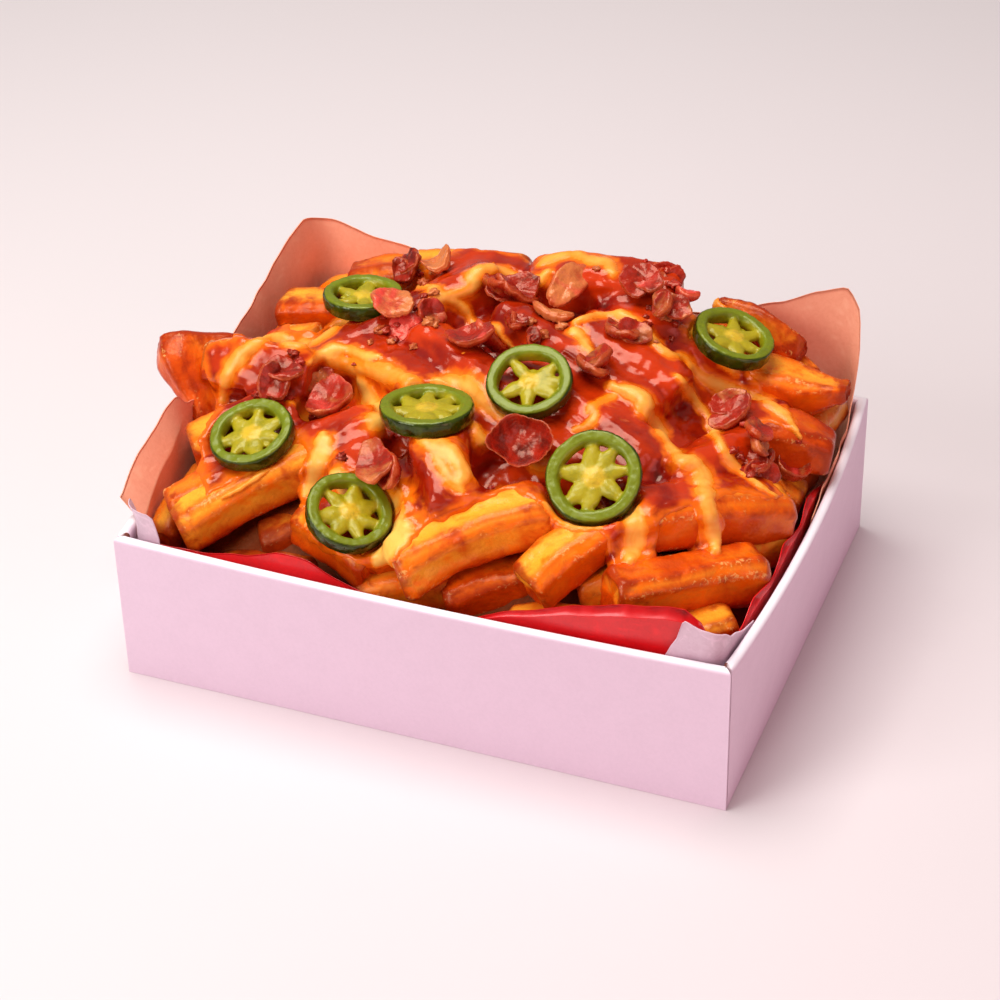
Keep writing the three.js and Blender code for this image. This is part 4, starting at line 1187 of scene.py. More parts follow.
@dataclass(frozen=True)
class Wedge:
    """One piece of potato between the centres of its two ends.

    Roll is in degrees, bow is the rise of its middle, and taper is how wide its two ends are, as
    shares of its middle. How browned it is and how far it is buried go from 0 to 1; burial darkens it as
    painted shade.
    """

    start: Point
    end: Point
    width: float
    height: float
    seed: int
    bow: float = 1.5
    roll: float = 0.0
    section: Section = Section.BATON
    taper: tuple[float, float] = (1.0, 1.0)
    taper_from: float = 0.5
    browned: float = 0.2
    buried_shade: float = 0.0
    stations: tuple[float, ...] = (0.0, 0.07, 0.36, 0.66, 0.93, 1.0)
    bevel: tuple[float, ...] = (0.0, 0.004, 0.011, 0.022, 0.04)
    face_rings: tuple[float, ...] = (0.3, 0.6, 0.82, 0.94)
    end_slimming: float = 0.72
    end_width: float = 0.8
    dent: float = 0.9
    hollow: float = 0.28
    hollow_reach: float = 3.2
    edge_reach: float = 2.6
    tip_reach: float = 3.6
    seed_step: float = 23.7

    def _drawn(self) -> tuple[Array, Array, Array, Array]:
        """Slimness, turn, sway and shifted corners at each station."""
        draws = SeededDraws(self.seed)
        slim, turn, sway, corners = [], [], [], []
        for t in self.stations:
            slim.append(self.end_slimming if t in (0.0, 1.0) else draws.between(0.96, 1.04))
            turn.append(math.radians(self.roll + (draws.share() - 0.5) * 7))
            sway.append((draws.share() - 0.5) * 0.9)
            corners.append([[(draws.share() - 0.5) * 1.3 for _ in range(2)] for _ in self.section.value])
        return np.array(slim), np.array(turn), np.array(sway), np.array(corners)

    def _scales(self, ts: Array, slim: Array) -> Array:
        """How wide the wedge is at shares of its length."""
        first, last = self.stations[1], self.stations[-2]
        near = np.clip(np.minimum(ts, 1 - ts) / first, 0, 1)
        scale = np.interp(np.clip(ts, first, last), self.stations, slim)
        scale = scale * (1 - (1 - self.end_width) * (1 - near) ** 2.6)
        for end, low, high in ((self.taper[0], -0.05, 0.5), (self.taper[1], 1.05, self.taper_from)):
            scale = scale * (end + (1 - end) * smooth_step(low, high, ts))
        return scale

    def _round(self, around: int) -> tuple[Indices, Array, Array]:
        """Even points round the section.

        Args:
            around: How many points there are.

        Returns:
            For each, the corner before it, its share of the way to the next corner, and how far
            it is from the nearest.
        """
        outline = np.array(self.section.value) * (self.width / 2, self.height / 2)
        sides = np.linalg.norm(np.roll(outline, -1, 0) - outline, axis=1)
        walked = np.concatenate([[0], np.cumsum(sides)])
        at = np.linspace(0, walked[-1], around, endpoint=False)
        before = np.searchsorted(walked, at, "right") - 1
        gaps = np.abs(at[:, None] - walked[None, :-1])
        gaps = np.minimum(gaps, walked[-1] - gaps).min(1)
        return before, (at - walked[before]) / sides[before], gaps

    def _rings(self, ts: Array, slim: Array, shifts: Array, before: Indices, share: Array) -> Array:
        """Flat rings of points at shares of the length, a little rounded at their corners."""
        outline = np.array(self.section.value) * (self.width / 2, self.height / 2)
        near = np.clip(np.minimum(ts, 1 - ts) / self.stations[1], 0, 1)
        moved = [
            [np.interp(ts, self.stations, axis) for axis in corner.T] for corner in shifts.swapaxes(0, 1)
        ]
        corners = outline[None] * self._scales(ts, slim)[:, None, None]
        corners = corners + np.array(moved).transpose(2, 0, 1) * near[:, None, None]
        share = share[None, :, None]
        rings = corners[:, before] * (1 - share) + corners[:, (before + 1) % len(outline)] * share
        return rings * 0.5 + (np.roll(rings, 1, 1) + np.roll(rings, -1, 1)) * 0.25

    def _capped(self, rings: Array, steps: Array) -> tuple[Array, Array, Array]:
        """Rings with those of both end faces, how far along each is, and how much it is end face."""
        shares = np.array(self.face_rings)
        dent, face = self.dent * (1 - shares**2), 1 - shares**6
        inner = shares[:, None, None]
        flat = np.concatenate([rings[0] * inner, rings, rings[-1] * inner[::-1]])
        reach = np.concatenate([steps[0] + dent, steps, steps[-1] - dent[::-1]])
        return flat, reach, np.concatenate([face, steps * 0, face[::-1]])[:, None]

    def _crust(self, flat: Array, reach: Array, gaps: Array) -> Array:
        """How far the crust stands out at each point, in millimetres."""
        along = np.repeat(reach[:, None], flat.shape[1], 1)
        spot = np.dstack([along, flat]).reshape(-1, 3) + self.seed * 17.3
        lumps = Lumps(self.seed)
        rough = lumps.at(spot * (0.6, 1, 1), 10.0, 2) * 0.42 + lumps.at(spot + 40, 2.8, 2) * 0.2
        rough -= np.abs(lumps.at(spot * (0.35, 1, 1) + 90, 5.0)) * 0.4
        sunk = self.hollow * (1 - np.exp(-((gaps / self.hollow_reach) ** 2)))
        return rough.reshape(flat.shape[:2]) - sunk[None]

    def skin(self, rings: int, around: int) -> Skin:
        """The wedge's surface, with a number of rings along it and of points in each."""
        first, last = np.array(self.start, float), np.array(self.end, float)
        length = float(np.linalg.norm(last - first))
        along = (last - first) / length
        across = unit(np.cross([0.0, 0.0, 1.0], along))
        up = np.cross(along, across)
        slim, turn, sway, shifts = self._drawn()

        bevel = np.array(self.bevel)
        body = np.linspace(self.stations[1], self.stations[-2], rings - 2 * len(bevel))
        ts = np.concatenate([bevel, body, 1 - bevel[::-1]])
        before, share, gaps = self._round(around)
        local = self._rings(ts, slim, shifts, before, share)
        flat, reach, face = self._capped(local, ts * length)
        rough = self._crust(flat, reach, gaps)
        flat = flat + unit(flat) * (rough * (1 - face * 0.6))[:, :, None]

        pad = len(self.face_rings)
        turns = np.pad(np.interp(ts, self.stations, turn), pad, "edge")[:, None]
        sways = np.pad(np.interp(ts, self.stations, sway), pad, "edge")[:, None]
        t = np.clip(reach / length, 0, 1)[:, None]
        x = flat[:, :, 0] * np.cos(turns) - flat[:, :, 1] * np.sin(turns) + sways
        y = flat[:, :, 0] * np.sin(turns) + flat[:, :, 1] * np.cos(turns) + self.bow * 4 * t * (1 - t)
        z = reach[:, None] + face * rough
        skin = tube_skin(list(first + x[..., None] * across + y[..., None] * up + z[..., None] * along))

        skin.values = self._values(flat, reach, face, gaps, before, local[len(ts) // 2])
        return skin

    def _values(
        self, flat: Array, reach: Array, face: Array, gaps: Array, before: Indices, middle: Array
    ) -> dict[str, Array]:
        """What the finish reads at each point.

        Args:
            flat: Places across and up in each ring.
            reach: How far along each ring is.
            face: How much each ring is end face.
            gaps: How far the points round the section are from its corners.
            before: The corner before each of them.
            middle: The ring in the middle.

        Returns:
            Places along, across and up, how near edges and tips are, how fried each facet is with
            painted shade on its lower side, how browned it is, and how buried it is for painted shade.
        """
        draws = SeededDraws(self.seed + 70)
        fried_and_low_shade = np.array([draws.share() for _ in self.section.value])
        lowness = 0.5 - middle[:, 1] / self.height
        to_end = np.minimum(reach, np.linalg.norm(np.subtract(self.end, self.start)) - reach)
        values = {
            "along": reach[:, None] + self.seed * self.seed_step,
            "side": flat[:, :, 0] + self.seed * self.seed_step,
            "rise": flat[:, :, 1],
            "edge": np.exp(-((gaps / self.edge_reach) ** 2))[None] * (1 - face),
            "tip": np.exp(-to_end / self.tip_reach)[:, None] * (1 - face * 0.65),
            # random fry per facet, plus painted shade on the lower part of the section
            "fried_and_low_shade": (fried_and_low_shade[before] * 0.45 + 0.55 * lowness)[None],
            "tone": np.array([[self.browned]]),
            "buried_shade": np.array([[self.buried_shade]]),
        }
        full = {name: np.broadcast_to(value, flat.shape[:2]).ravel() for name, value in values.items()}
        return {name: np.concatenate([value, value[:1], value[-1:]]) for name, value in full.items()}


SHOWN_WEDGES = (
    Wedge((-76, -58, 46), (-30, -17, 64), 16, 15, 11, bow=2, browned=0.25),
    Wedge((-80, -54, 48), (-60, -37, 55), 13, 12, 12),
    Wedge((-42, -45, 49), (-15, -58, 46), 14, 13, 13),
    Wedge((-8, -61, 49), (28, -35, 61), 16, 15, 14, bow=3),
    Wedge((4, -57, 40), (30, -42, 45), 14, 13, 15, browned=0.9, buried_shade=0.18),
    Wedge((29, -56, 49), (46, -34, 61), 15, 14, 16, browned=0.15),
    Wedge((51, -54, 51), (84, -23, 45), 15, 15, 17, bow=1, browned=0.6),
    Wedge((50, -33, 61), (84, 0, 50), 17, 16, 18, browned=0.35),
    Wedge((60, 14, 50), (85, 16, 43), 13, 12, 19),
    Wedge((60, 20, 60), (90.5, 26, 55), 16, 16, 20, browned=0.9, taper=(1, 0.75)),
    Wedge((52, 43, 63), (90, 43, 65.5), 18, 16, 21, bow=-2, browned=0.55, taper=(1, 0.4)),
    Wedge((44, 60, 72), (73, 56, 68), 14, 15, 22, browned=1.0, section=Section.RIDGED, taper=(1, 0.6)),
    Wedge((64, 61, 60), (76, 52, 60), 10, 8, 23),
    Wedge((66, -54, 37), (83, -42, 41), 12, 10, 24),
    Wedge(
        (-96.3, 2.7, 69.5), (-85, -17.3, 55), 27, 12, 25, bow=0, browned=0.85, roll=-17,
        taper=(1, 0.3), taper_from=0.2,
    ),
    Wedge((-90, -6, 69), (-56, -6, 71), 18, 15, 35, section=Section.RIDGED, taper=(0.8, 1)),
    Wedge((-81, -36, 57), (-56, -18, 63), 15, 14, 26),
    Wedge((-82, 30, 65), (-50, 30, 70), 14, 12, 27, browned=0.5),
    Wedge((-67, 48, 68), (-36, 54, 73), 14, 13, 28, browned=0.6),
    Wedge((-49, 50, 74), (-12, 55, 77), 13, 11, 29),
    Wedge((4, -47, 62.5), (-11, -24, 71), 15, 13, 30),
    Wedge((-8, 47, 80), (36, 53, 81), 15, 14, 31, bow=2),
    Wedge((20, 37, 78), (58, 43, 66), 15, 14, 32, bow=2),
    Wedge((-80, 13, 62), (-62, 15, 68), 10, 8, 33),
)

# Wedges further down, which show only in the gaps, darkened with painted shade by their burial
LOWER_WEDGES = (
    Wedge((-64, -59, 32), (-34, -53, 36), 14, 12, 51, buried_shade=0.5, browned=1.0),
    Wedge((-54, -50, 40), (-30, -36, 45), 13, 12, 52, buried_shade=0.5, browned=1.0),
    Wedge((-20, -60, 38), (6, -52, 42), 13, 12, 53, buried_shade=0.2),
    Wedge((24, -60, 37), (56, -56, 40), 13, 12, 54, buried_shade=0.25),
    Wedge((40, -48, 44), (62, -36, 48), 12, 12, 55, buried_shade=0.35),
    Wedge((66, -30, 42), (84, -2, 42), 13, 12, 56, buried_shade=0.3),
    Wedge((76, 2, 42), (80, 32, 44), 12, 12, 57, buried_shade=0.3),
    Wedge((78, 30, 50), (82, 58, 52), 12, 12, 58, buried_shade=0.3),
    Wedge((-82, -58, 40), (-78, -30, 46), 10, 10, 59, buried_shade=0.35),
    Wedge((-80, -26, 50), (-78, 6, 54), 12, 11, 60, buried_shade=0.35),
)


@dataclass(frozen=True)
class FillRound:
    """One round of drawing wedges at random: half lengths, middles and turns, in mm and radians."""

    tries: int
    half: tuple[float, float]
    y: tuple[float, float]
    turn: float
    spacing: float


@dataclass
class Heap:
    """The heap: wedges that the photograph shows, others drawn over the same dome, and a core."""

    cavity: Cavity
    shown: tuple[Wedge, ...] = SHOWN_WEDGES
    crest: Stations = ((-64, 56), (-40, 67), (-20, 74), (0, 80), (30, 86), (52, 90), (66, 66))
    left: Stations = ((-64, 50), (-40, 60), (-10, 74), (12, 72), (30, 69), (52, 67), (66, 56))
    right: Stations = ((-64, 48), (-40, 52), (-10, 57), (20, 60), (40, 65), (54, 66), (66, 56))
    crest_x: float = 4.0
    shoulder_x: float = 84.0
    dome_power: float = 1.9
    fill_seed: int = 404
    reach: tuple[float, float] = (82.0, 61.0)
    steepest: float = 14.0
    middle_x: float = 74.0
    wedge_height: tuple[float, float] = (12.5, 15.5)
    wedge_width: tuple[float, float] = (13.0, 16.5)
    most_bow: float = 3.5
    most_roll: float = 25.0
    browning: tuple[float, float] = (0.1, 0.8)
    rounds: tuple[FillRound, ...] = (
        FillRound(300, (22, 28), (57, 60), 0.25, 12),
        FillRound(1500, (24, 31), (-46, 56), 1.15, 10.5),
        FillRound(2500, (15, 22), (-46, 58), 1.15, 11),
    )
    core_middle: float = 6.5
    core_sunk: float = 4.0
    core_edge: float = 17.0
    core_margin: float = 4.5
    core_top: float = 34.0
    core_steps: int = 144
    core_power: float = 0.45
    core_foot: Stations = ((0.95, 2.6), (0.99, 6.6), (1.0, 20.0))
    shown_grid: tuple[int, int] = (54, 48)
    fill_grid: tuple[int, int] = (30, 26)
    rear_limit: float = 65.8

    def dome(self, x: float, y: float) -> float:
        """Height of the wedges' tops over the box."""
        u = min(1.0, abs(x - self.crest_x) / self.shoulder_x)
        shoulder = float(profile(self.left if x < self.crest_x else self.right, y))
        return mix(shoulder, float(profile(self.crest, y)), 1 - u**self.dome_power)

    def _draw(self, draws: SeededDraws, rule: FillRound, seed: int) -> Wedge:
        """Draws one wedge that lies on the dome."""
        x = draws.between(-self.middle_x, self.middle_x)
        y = draws.between(*rule.y)
        angle = draws.between(-1, 1) * rule.turn
        half = draws.between(*rule.half)
        height = draws.between(*self.wedge_height)
        width = draws.between(*self.wedge_width)
        sunk = height / 2 + 1
        ends = []
        for reach in (-half, half):
            ex, ey = x + math.cos(angle) * reach, y + math.sin(angle) * reach
            ends.append((ex, ey, self.dome(ex, ey) - sunk))
        sag = self.dome(x, y) - sunk - (ends[0][2] + ends[1][2]) / 2
        bow = min(max(sag, 0.0), self.most_bow)
        roll = draws.between(-self.most_roll, self.most_roll)
        browned = SeededDraws(seed).between(*self.browning)
        return Wedge(ends[0], ends[1], width, height, seed, bow, roll, browned=browned)

    def fill(self) -> list[Wedge]:
        """The wedges that aren't copied from the photograph, each clear of the ones before it."""
        draws = SeededDraws(self.fill_seed)
        shares = np.array([0.1, 0.3, 0.5, 0.7, 0.9])[:, None]

        def line(wedge: Wedge) -> Array:
            """Points along a wedge's middle."""
            return np.array(wedge.start) * (1 - shares) + np.array(wedge.end) * shares

        placed = np.vstack([line(w) for w in self.shown])
        found: list[Wedge] = []
        for rule in self.rounds:
            for _ in range(rule.tries):
                wedge = self._draw(draws, rule, 100 + len(found))
                ends = np.abs(np.array([wedge.start, wedge.end]))
                steep = abs(wedge.start[2] - wedge.end[2]) > self.steepest
                if steep or (ends[:, :2] > self.reach).any():
                    continue
                own = line(wedge)
                if (np.linalg.norm(placed[None] - own[:, None], axis=2) < rule.spacing).any():
                    continue
                placed = np.vstack([placed, own])
                found.append(wedge)
        return found

    def _core_height(self, x: float, y: float) -> float:
        """Height of the core's top."""
        out = min(1.0, max(abs(x - self.crest_x) / self.shoulder_x, abs(y) / self.cavity.y))
        sunk = self.core_sunk + mix(self.core_middle, self.core_edge, out**3)
        return max(self.core_top, self.dome(x, y) - sunk)

    def core(self) -> Skin:
        """The lumpy middle of the heap, which carries the wedges."""
        turns = 2 * np.pi * (np.arange(self.core_steps) + 0.5) / self.core_steps
        c, s = np.cos(turns), np.sin(turns)
        xs = np.sign(c) * np.abs(c) ** self.core_power * (self.cavity.x - self.core_margin)
        ys = np.sign(s) * np.abs(s) ** self.core_power * (self.cavity.y - self.core_margin)
        rings = []
        for scale, z in (*self.core_foot, (1.0, self.core_top)):
            rings.append(np.stack([xs * scale, ys * scale, np.full(len(xs), z)], 1))
        for scale in np.linspace(0.96, 0.06, 28):
            x, y = xs * scale, ys * scale
            rings.append(np.stack([x, y, [self._core_height(a, b) for a, b in zip(x, y)]], 1))
        skin = tube_skin(rings)
        lift = Lumps(77).at(skin.points, 11.0, 3) * 2.2 - 1.2
        skin.points[:, 2] += lift * smooth_step(self.core_top - 2, self.core_top + 6, skin.points[:, 2])
        # the core's dark colour is painted shade, for where only shade shows between the wedges
        even = {"edge": 0.0, "tip": 0.0, "fried_and_low_shade": 0.8, "tone": 0.0, "buried_shade": 0.9}
        skin.values = dict(zip(("along", "side", "rise"), skin.points.T))
        skin.values |= {name: np.full(len(skin.points), value) for name, value in even.items()}
        return skin

    def skin(self) -> Skin:
        """All wedges and the core."""
        skins = [w.skin(*self.shown_grid) for w in self.shown]
        skins += [w.skin(*self.fill_grid) for w in (*LOWER_WEDGES, *self.fill())]
        return Skin.joined([*skins, self.core()])

    def build(self, slices: Sequence["ChilliSlice"]) -> Skin:
        """Adds the heap, kept clear of the slices that lie on it, and gives back its surface."""
        skin = self.skin()
        for slice_ in slices:
            skin.points = slice_.pressed(skin.points)
        skin.points[:, 1] = np.minimum(skin.points[:, 1], self.rear_limit)
        add_piece("wedge_heap", skin, PotatoFinish().material(), ["wedges"])
        return skin


# Sauce and melted cheese


@dataclass(frozen=True)
class Strand:
    """A run of melted cheese, by pixels of the photograph that it passes.

    Its width and height are in mm, and the last value says from 0 to 1 how pale its top is, as creamier
    cheese with a painted highlight.
    """

    path: tuple[Pixel, ...]
    width: float
    height: float = 1.0
    cream_and_highlight: float = 0.35


STRANDS = (
    Strand((
        (222, 400), (228, 375), (240, 357), (270, 337), (290, 345), (312, 345), (333, 330), (343, 322),
        (357, 317),
    ), 5),
    Strand(((307, 363), (327, 353), (347, 350), (367, 357), (378, 357)), 4.2, cream_and_highlight=0.5),
    Strand(((327, 357), (357, 368), (382, 372), (407, 380), (417, 385)), 5.5, cream_and_highlight=0.2),
    Strand(((360, 380), (370, 397), (378, 413), (372, 427)), 6.5, cream_and_highlight=0.55),
    Strand(((290, 402), (300, 410), (306, 420)), 4.5, 0.5, 0.1),
    Strand((
        (420, 287), (432, 288), (440, 298), (457, 295), (473, 288), (473, 277), (482, 270), (498, 270),
        (515, 278), (537, 282), (548, 272),
    ), 4.6),
    Strand(((440, 298), (457, 303), (467, 312), (473, 323), (483, 328)), 3.2),
    Strand(((487, 328), (497, 327), (503, 337), (513, 347)), 2.0, 0.7, 0.8),
    Strand(((437, 382), (457, 383), (473, 390), (487, 405), (500, 415)), 6.5, 0.8, 0.6),
    Strand(((473, 423), (480, 437), (490, 447)), 4.0, 0.7, 0.6),
    Strand(((422, 438), (432, 443), (448, 453), (457, 463), (463, 472), (458, 484)), 7, 1.2, 0.4),
    Strand(((323, 435), (323, 452), (318, 463), (313, 477), (310, 486), (306, 494)), 6, 1.2, 0.5),
    Strand(((222, 498), (238, 490), (258, 476), (276, 460)), 3.4, 0.8, 0.5),
    Strand((
        (336, 476), (350, 488), (370, 498), (390, 504), (398, 516), (396, 536), (390, 552), (380, 560),
    ), 10, 1.3, 0.7),
    Strand(((430, 440), (440, 460), (450, 476), (462, 490)), 5, 1.0, 0.3),
    Strand(((634, 512), (635, 528), (633, 545), (630, 560)), 7, 1.3, 0.35),
    Strand(((545, 505), (560, 520), (578, 528), (600, 528)), 3, 0.7, 0.8),
    Strand(((530, 462), (545, 464)), 4.5, 0.6, 0.5),
    Strand((
        (540, 265), (550, 260), (567, 255), (575, 253), (583, 258), (595, 262), (607, 263), (613, 273),
    ), 6),
    Strand((
        (575, 323), (590, 317), (607, 315), (620, 315), (633, 323), (643, 330), (657, 345), (670, 355),
        (683, 358), (693, 370), (707, 380), (723, 387), (740, 392), (757, 398), (773, 407), (787, 418),
        (800, 437),
    ), 4.0),
    Strand(((573, 330), (580, 338), (590, 352)), 4.2, 0.9, 0.6),
    Strand((
        (612, 387), (628, 392), (643, 397), (647, 413), (657, 430), (670, 447), (682, 460), (698, 467),
        (704, 486), (708, 506), (712, 528), (716, 550),
    ), 6.0, 1.2),
    Strand((
        (677, 377), (687, 390), (700, 407), (710, 420), (713, 430), (720, 443), (727, 457), (744, 474),
        (760, 486), (776, 497),
    ), 3.4),
    Strand(((700, 293), (713, 300), (725, 312)), 3.6, 0.7, 0.6),
    Strand(((723, 362), (737, 373)), 4.0, 0.7, 0.7),
    Strand(((588, 412), (600, 402), (614, 396)), 3.4, 0.6, 0.6),
    Strand(((574, 430), (590, 424), (596, 412)), 2.6, 0.6, 0.9),
)

SAUCE_EDGE = (
    (246, 318), (232, 342), (214, 340), (205, 352), (206, 372), (216, 392), (218, 408), (205, 424),
    (196, 440), (206, 456), (200, 478), (206, 494), (228, 486), (262, 466), (300, 440), (306, 452),
    (300, 470), (296, 496), (306, 512), (308, 540), (330, 556), (352, 562), (378, 566), (394, 560),
    (404, 544), (424, 520), (444, 522), (476, 500), (500, 492), (524, 494), (546, 504), (552, 522),
    (568, 528), (590, 526), (606, 536), (618, 558), (642, 562), (654, 552), (656, 538), (664, 520),
    (690, 508), (700, 530), (708, 552), (722, 552), (722, 528), (714, 500), (738, 492), (776, 500),
    (790, 498), (770, 470), (760, 448), (752, 430), (770, 424), (802, 440), (800, 424), (786, 406),
    (760, 392), (750, 372), (744, 356), (712, 346), (690, 330), (700, 316), (728, 318), (726, 300),
    (706, 284), (660, 230), (480, 230), (436, 262), (420, 276), (396, 292), (372, 292), (352, 306),
    (330, 326), (300, 330), (270, 322),
)


@dataclass
class SauceCoat:
    """Barbecue sauce that fills the gaps between the wedges, with cheese run over it."""

    view: Viewpoint
    slices: Sequence["ChilliSlice"]
    strands: tuple[Strand, ...] = STRANDS
    edge: tuple[Pixel, ...] = SAUCE_EDGE
    coarse: float = 1.0
    fine: float = 0.68
    reach: float = 2.8
    film: float = 0.45
    sunk: float = 5.0
    soft_edge: float = 2.4
    rear: float = 58.0
    rear_limit: float = 64.6
    lowest: float = 30.0
    half_width: float = 0.42
    tip_width: float = 0.62
    fold_height: float = 0.42
    group: int = 40
    margin: float = 14.0

    def _closed(self, bed: Skin) -> Skin:
        """The bed with its narrow gaps filled."""
        outline = remeshed(bed, self.coarse)
        outline.points += outline.normals() * self.reach
        grown = remeshed(outline, self.coarse).smoothed(6)
        grown.points -= grown.normals() * (self.reach - self.film)
        return remeshed(grown, self.fine).smoothed(2)

    def _cover(self, points: Array) -> Array:
        """How far points are inside the sauce's edge, in millimetres."""
        pixels = self.view.pixels(points)
        loop = np.array(self.edge, float)
        nearest = np.full(len(points), 1e9)
        inside = np.zeros(len(points), bool)
        for a, b in zip(loop, np.roll(loop, -1, 0)):
            side = b - a
            t = np.clip((pixels - a) @ side / (side @ side), 0, 1)
            nearest = np.minimum(nearest, np.linalg.norm(pixels - a - t[:, None] * side, axis=1))
            crossing = (a[1] > pixels[:, 1]) != (b[1] > pixels[:, 1])
            at = a[0] + (pixels[:, 1] - a[1]) * side[0] / (side[1] if side[1] else 1e-9)
            inside ^= crossing & (pixels[:, 0] < at)
        scale = self.view.focal_pixels / -self.view.shift[2]
        reach = np.where(inside, nearest, -nearest) / scale
        ragged = Lumps(61).at(points, 9.0, 3) * 1.8
        return np.minimum(reach, self.rear - points[:, 1]) + ragged

    def _laid(self, tree: BVHTree, strand: Strand, index: int) -> Array:
        """A strand's middle line on the bed, with its half width, height and the paleness of its crown,
        part creamier cheese and part painted highlight.
        """
        path = smooth_path(np.array(strand.path, float), 1.2)
        hits = [(k, self.view.sight(tree, (p[0], p[1]))) for k, p in enumerate(path)]
        hits = [(k, hit) for k, hit in hits if hit is not None]
        shares = np.array([k for k, _ in hits]) / max(len(path) - 1, 1)
        line = np.array([hit for _, hit in hits])
        swell = Lumps(300 + index).at(line, 6.0, 2)
        taper = mix(self.tip_width, 1, np.minimum(1, np.minimum(shares, 1 - shares) * 9))
        half = strand.width * self.half_width * (1 + 0.4 * swell) * taper
        height = strand.height * (0.85 + 0.15 * swell)
        return np.column_stack([line, half, height, np.full(len(line), strand.cream_and_highlight)])

    def _cheese(self, skin: Skin) -> tuple[Array, Array, Array, Array]:
        """How high cheese stands at points, and its share, crown paleness and halo."""
        tree = skin.tree()
        lines = np.vstack([self._laid(tree, s, k) for k, s in enumerate(self.strands)])
        lift, share, cream_and_highlight, halo = np.zeros((4, len(skin.points)))
        wobble = Lumps(91).at(skin.points, 3.2, 2) * 0.16
        for start in range(0, len(lines), self.group):
            group = lines[start : start + self.group]
            low, high = group[:, :3].min(0) - self.margin, group[:, :3].max(0) + self.margin
            near = np.flatnonzero(((skin.points > low) & (skin.points < high)).all(1))
            if not len(near):
                continue
            gaps = np.linalg.norm(skin.points[near][:, None] - group[None, :, :3], axis=2)
            gaps = gaps / group[None, :, 3]
            best = gaps.argmin(1)
            gap = gaps[np.arange(len(near)), best] + wobble[near]
            here = group[best]
            rise = here[:, 4] * np.clip(1 - (gap / 1.1) ** 2, 0, 1) ** 0.8
            lift[near] = np.maximum(lift[near], rise)
            part = smooth_step(1.12, 0.86, gap)
            cream_and_highlight[near] = np.where(part > share[near], here[:, 5], cream_and_highlight[near])
            share[near] = np.maximum(share[near], part)
            halo[near] = np.maximum(halo[near], smooth_step(2.5, 0.9, gap))
        return lift, share, cream_and_highlight, halo

    def skin(self, bed: Skin) -> Skin:
        """The coat's surface over the wedges' surface."""
        skin = self._closed(bed)
        tree = bed.tree()
        cover = self._cover(skin.points)
        lift, share, cream_and_highlight, halo = self._cheese(skin)
        depth = np.zeros(len(skin.points))
        for i in np.flatnonzero(cover > -self.soft_edge - 2):
            spot, out, _, depth[i] = tree.find_nearest(Vector(skin.points[i]))
            if (Vector(skin.points[i]) - spot).dot(out) < 0:
                depth[i] *= -1
        poking = np.maximum(self.film - depth, 0) * (cover > 0)
        depth = np.maximum(depth, 0)
        reached = np.maximum(cover, np.where(share > 0.02, 0.4 * share, -99))
        inside = smooth_step(-self.soft_edge, 0.4, reached)
        folds = Lumps(23).at(skin.points, 5.5, 3) * self.fold_height * (inside * (1 - 0.75 * share))
        skin.points += skin.normals() * (lift + poking + folds - self.sunk * (1 - inside))[:, None]
        for slice_ in self.slices:
            skin.points = slice_.pressed(skin.points)
        skin.points[:, 1] = np.minimum(skin.points[:, 1], self.rear_limit)
        skin.values = {
            "depth": smooth_step(0.5, 4.2, depth),
            "cheese": share,
            # crown paleness: part creamier cheese, part painted highlight on top
            "crown_highlight": np.clip(cream_and_highlight * 1.5 * smooth_step(0.35, 1.0, lift), 0, 1),
            "halo": halo,
            "thin": smooth_step(4.5, -0.5, cover) * smooth_step(2.5, 0.8, depth),
        }
        return skin.kept((inside > 0.03) & (skin.points[:, 2] > self.lowest)).smoothed(1, 0.4)

    def build(self, bed: Skin) -> Skin:
        """Adds the coat and gives back its surface."""
        skin = self.skin(bed)
        add_piece("sauce_and_cheese", skin, SauceFinish().material(), ["wedges"])
        return skin


# Toppings


def ball_rings(rows: int, around: int, reach: float) -> list[Array]:
    """Rings of points round a ball, between minus and plus the reach of its radius."""
    turns = np.linspace(0, 2 * np.pi, around, endpoint=False)
    rings = []
    for lift in np.linspace(-reach, reach, rows):
        wide = math.sqrt(1 - lift * lift)
        rings.append(np.stack([np.cos(turns) * wide, np.sin(turns) * wide, np.full(around, lift)], 1))
    return rings


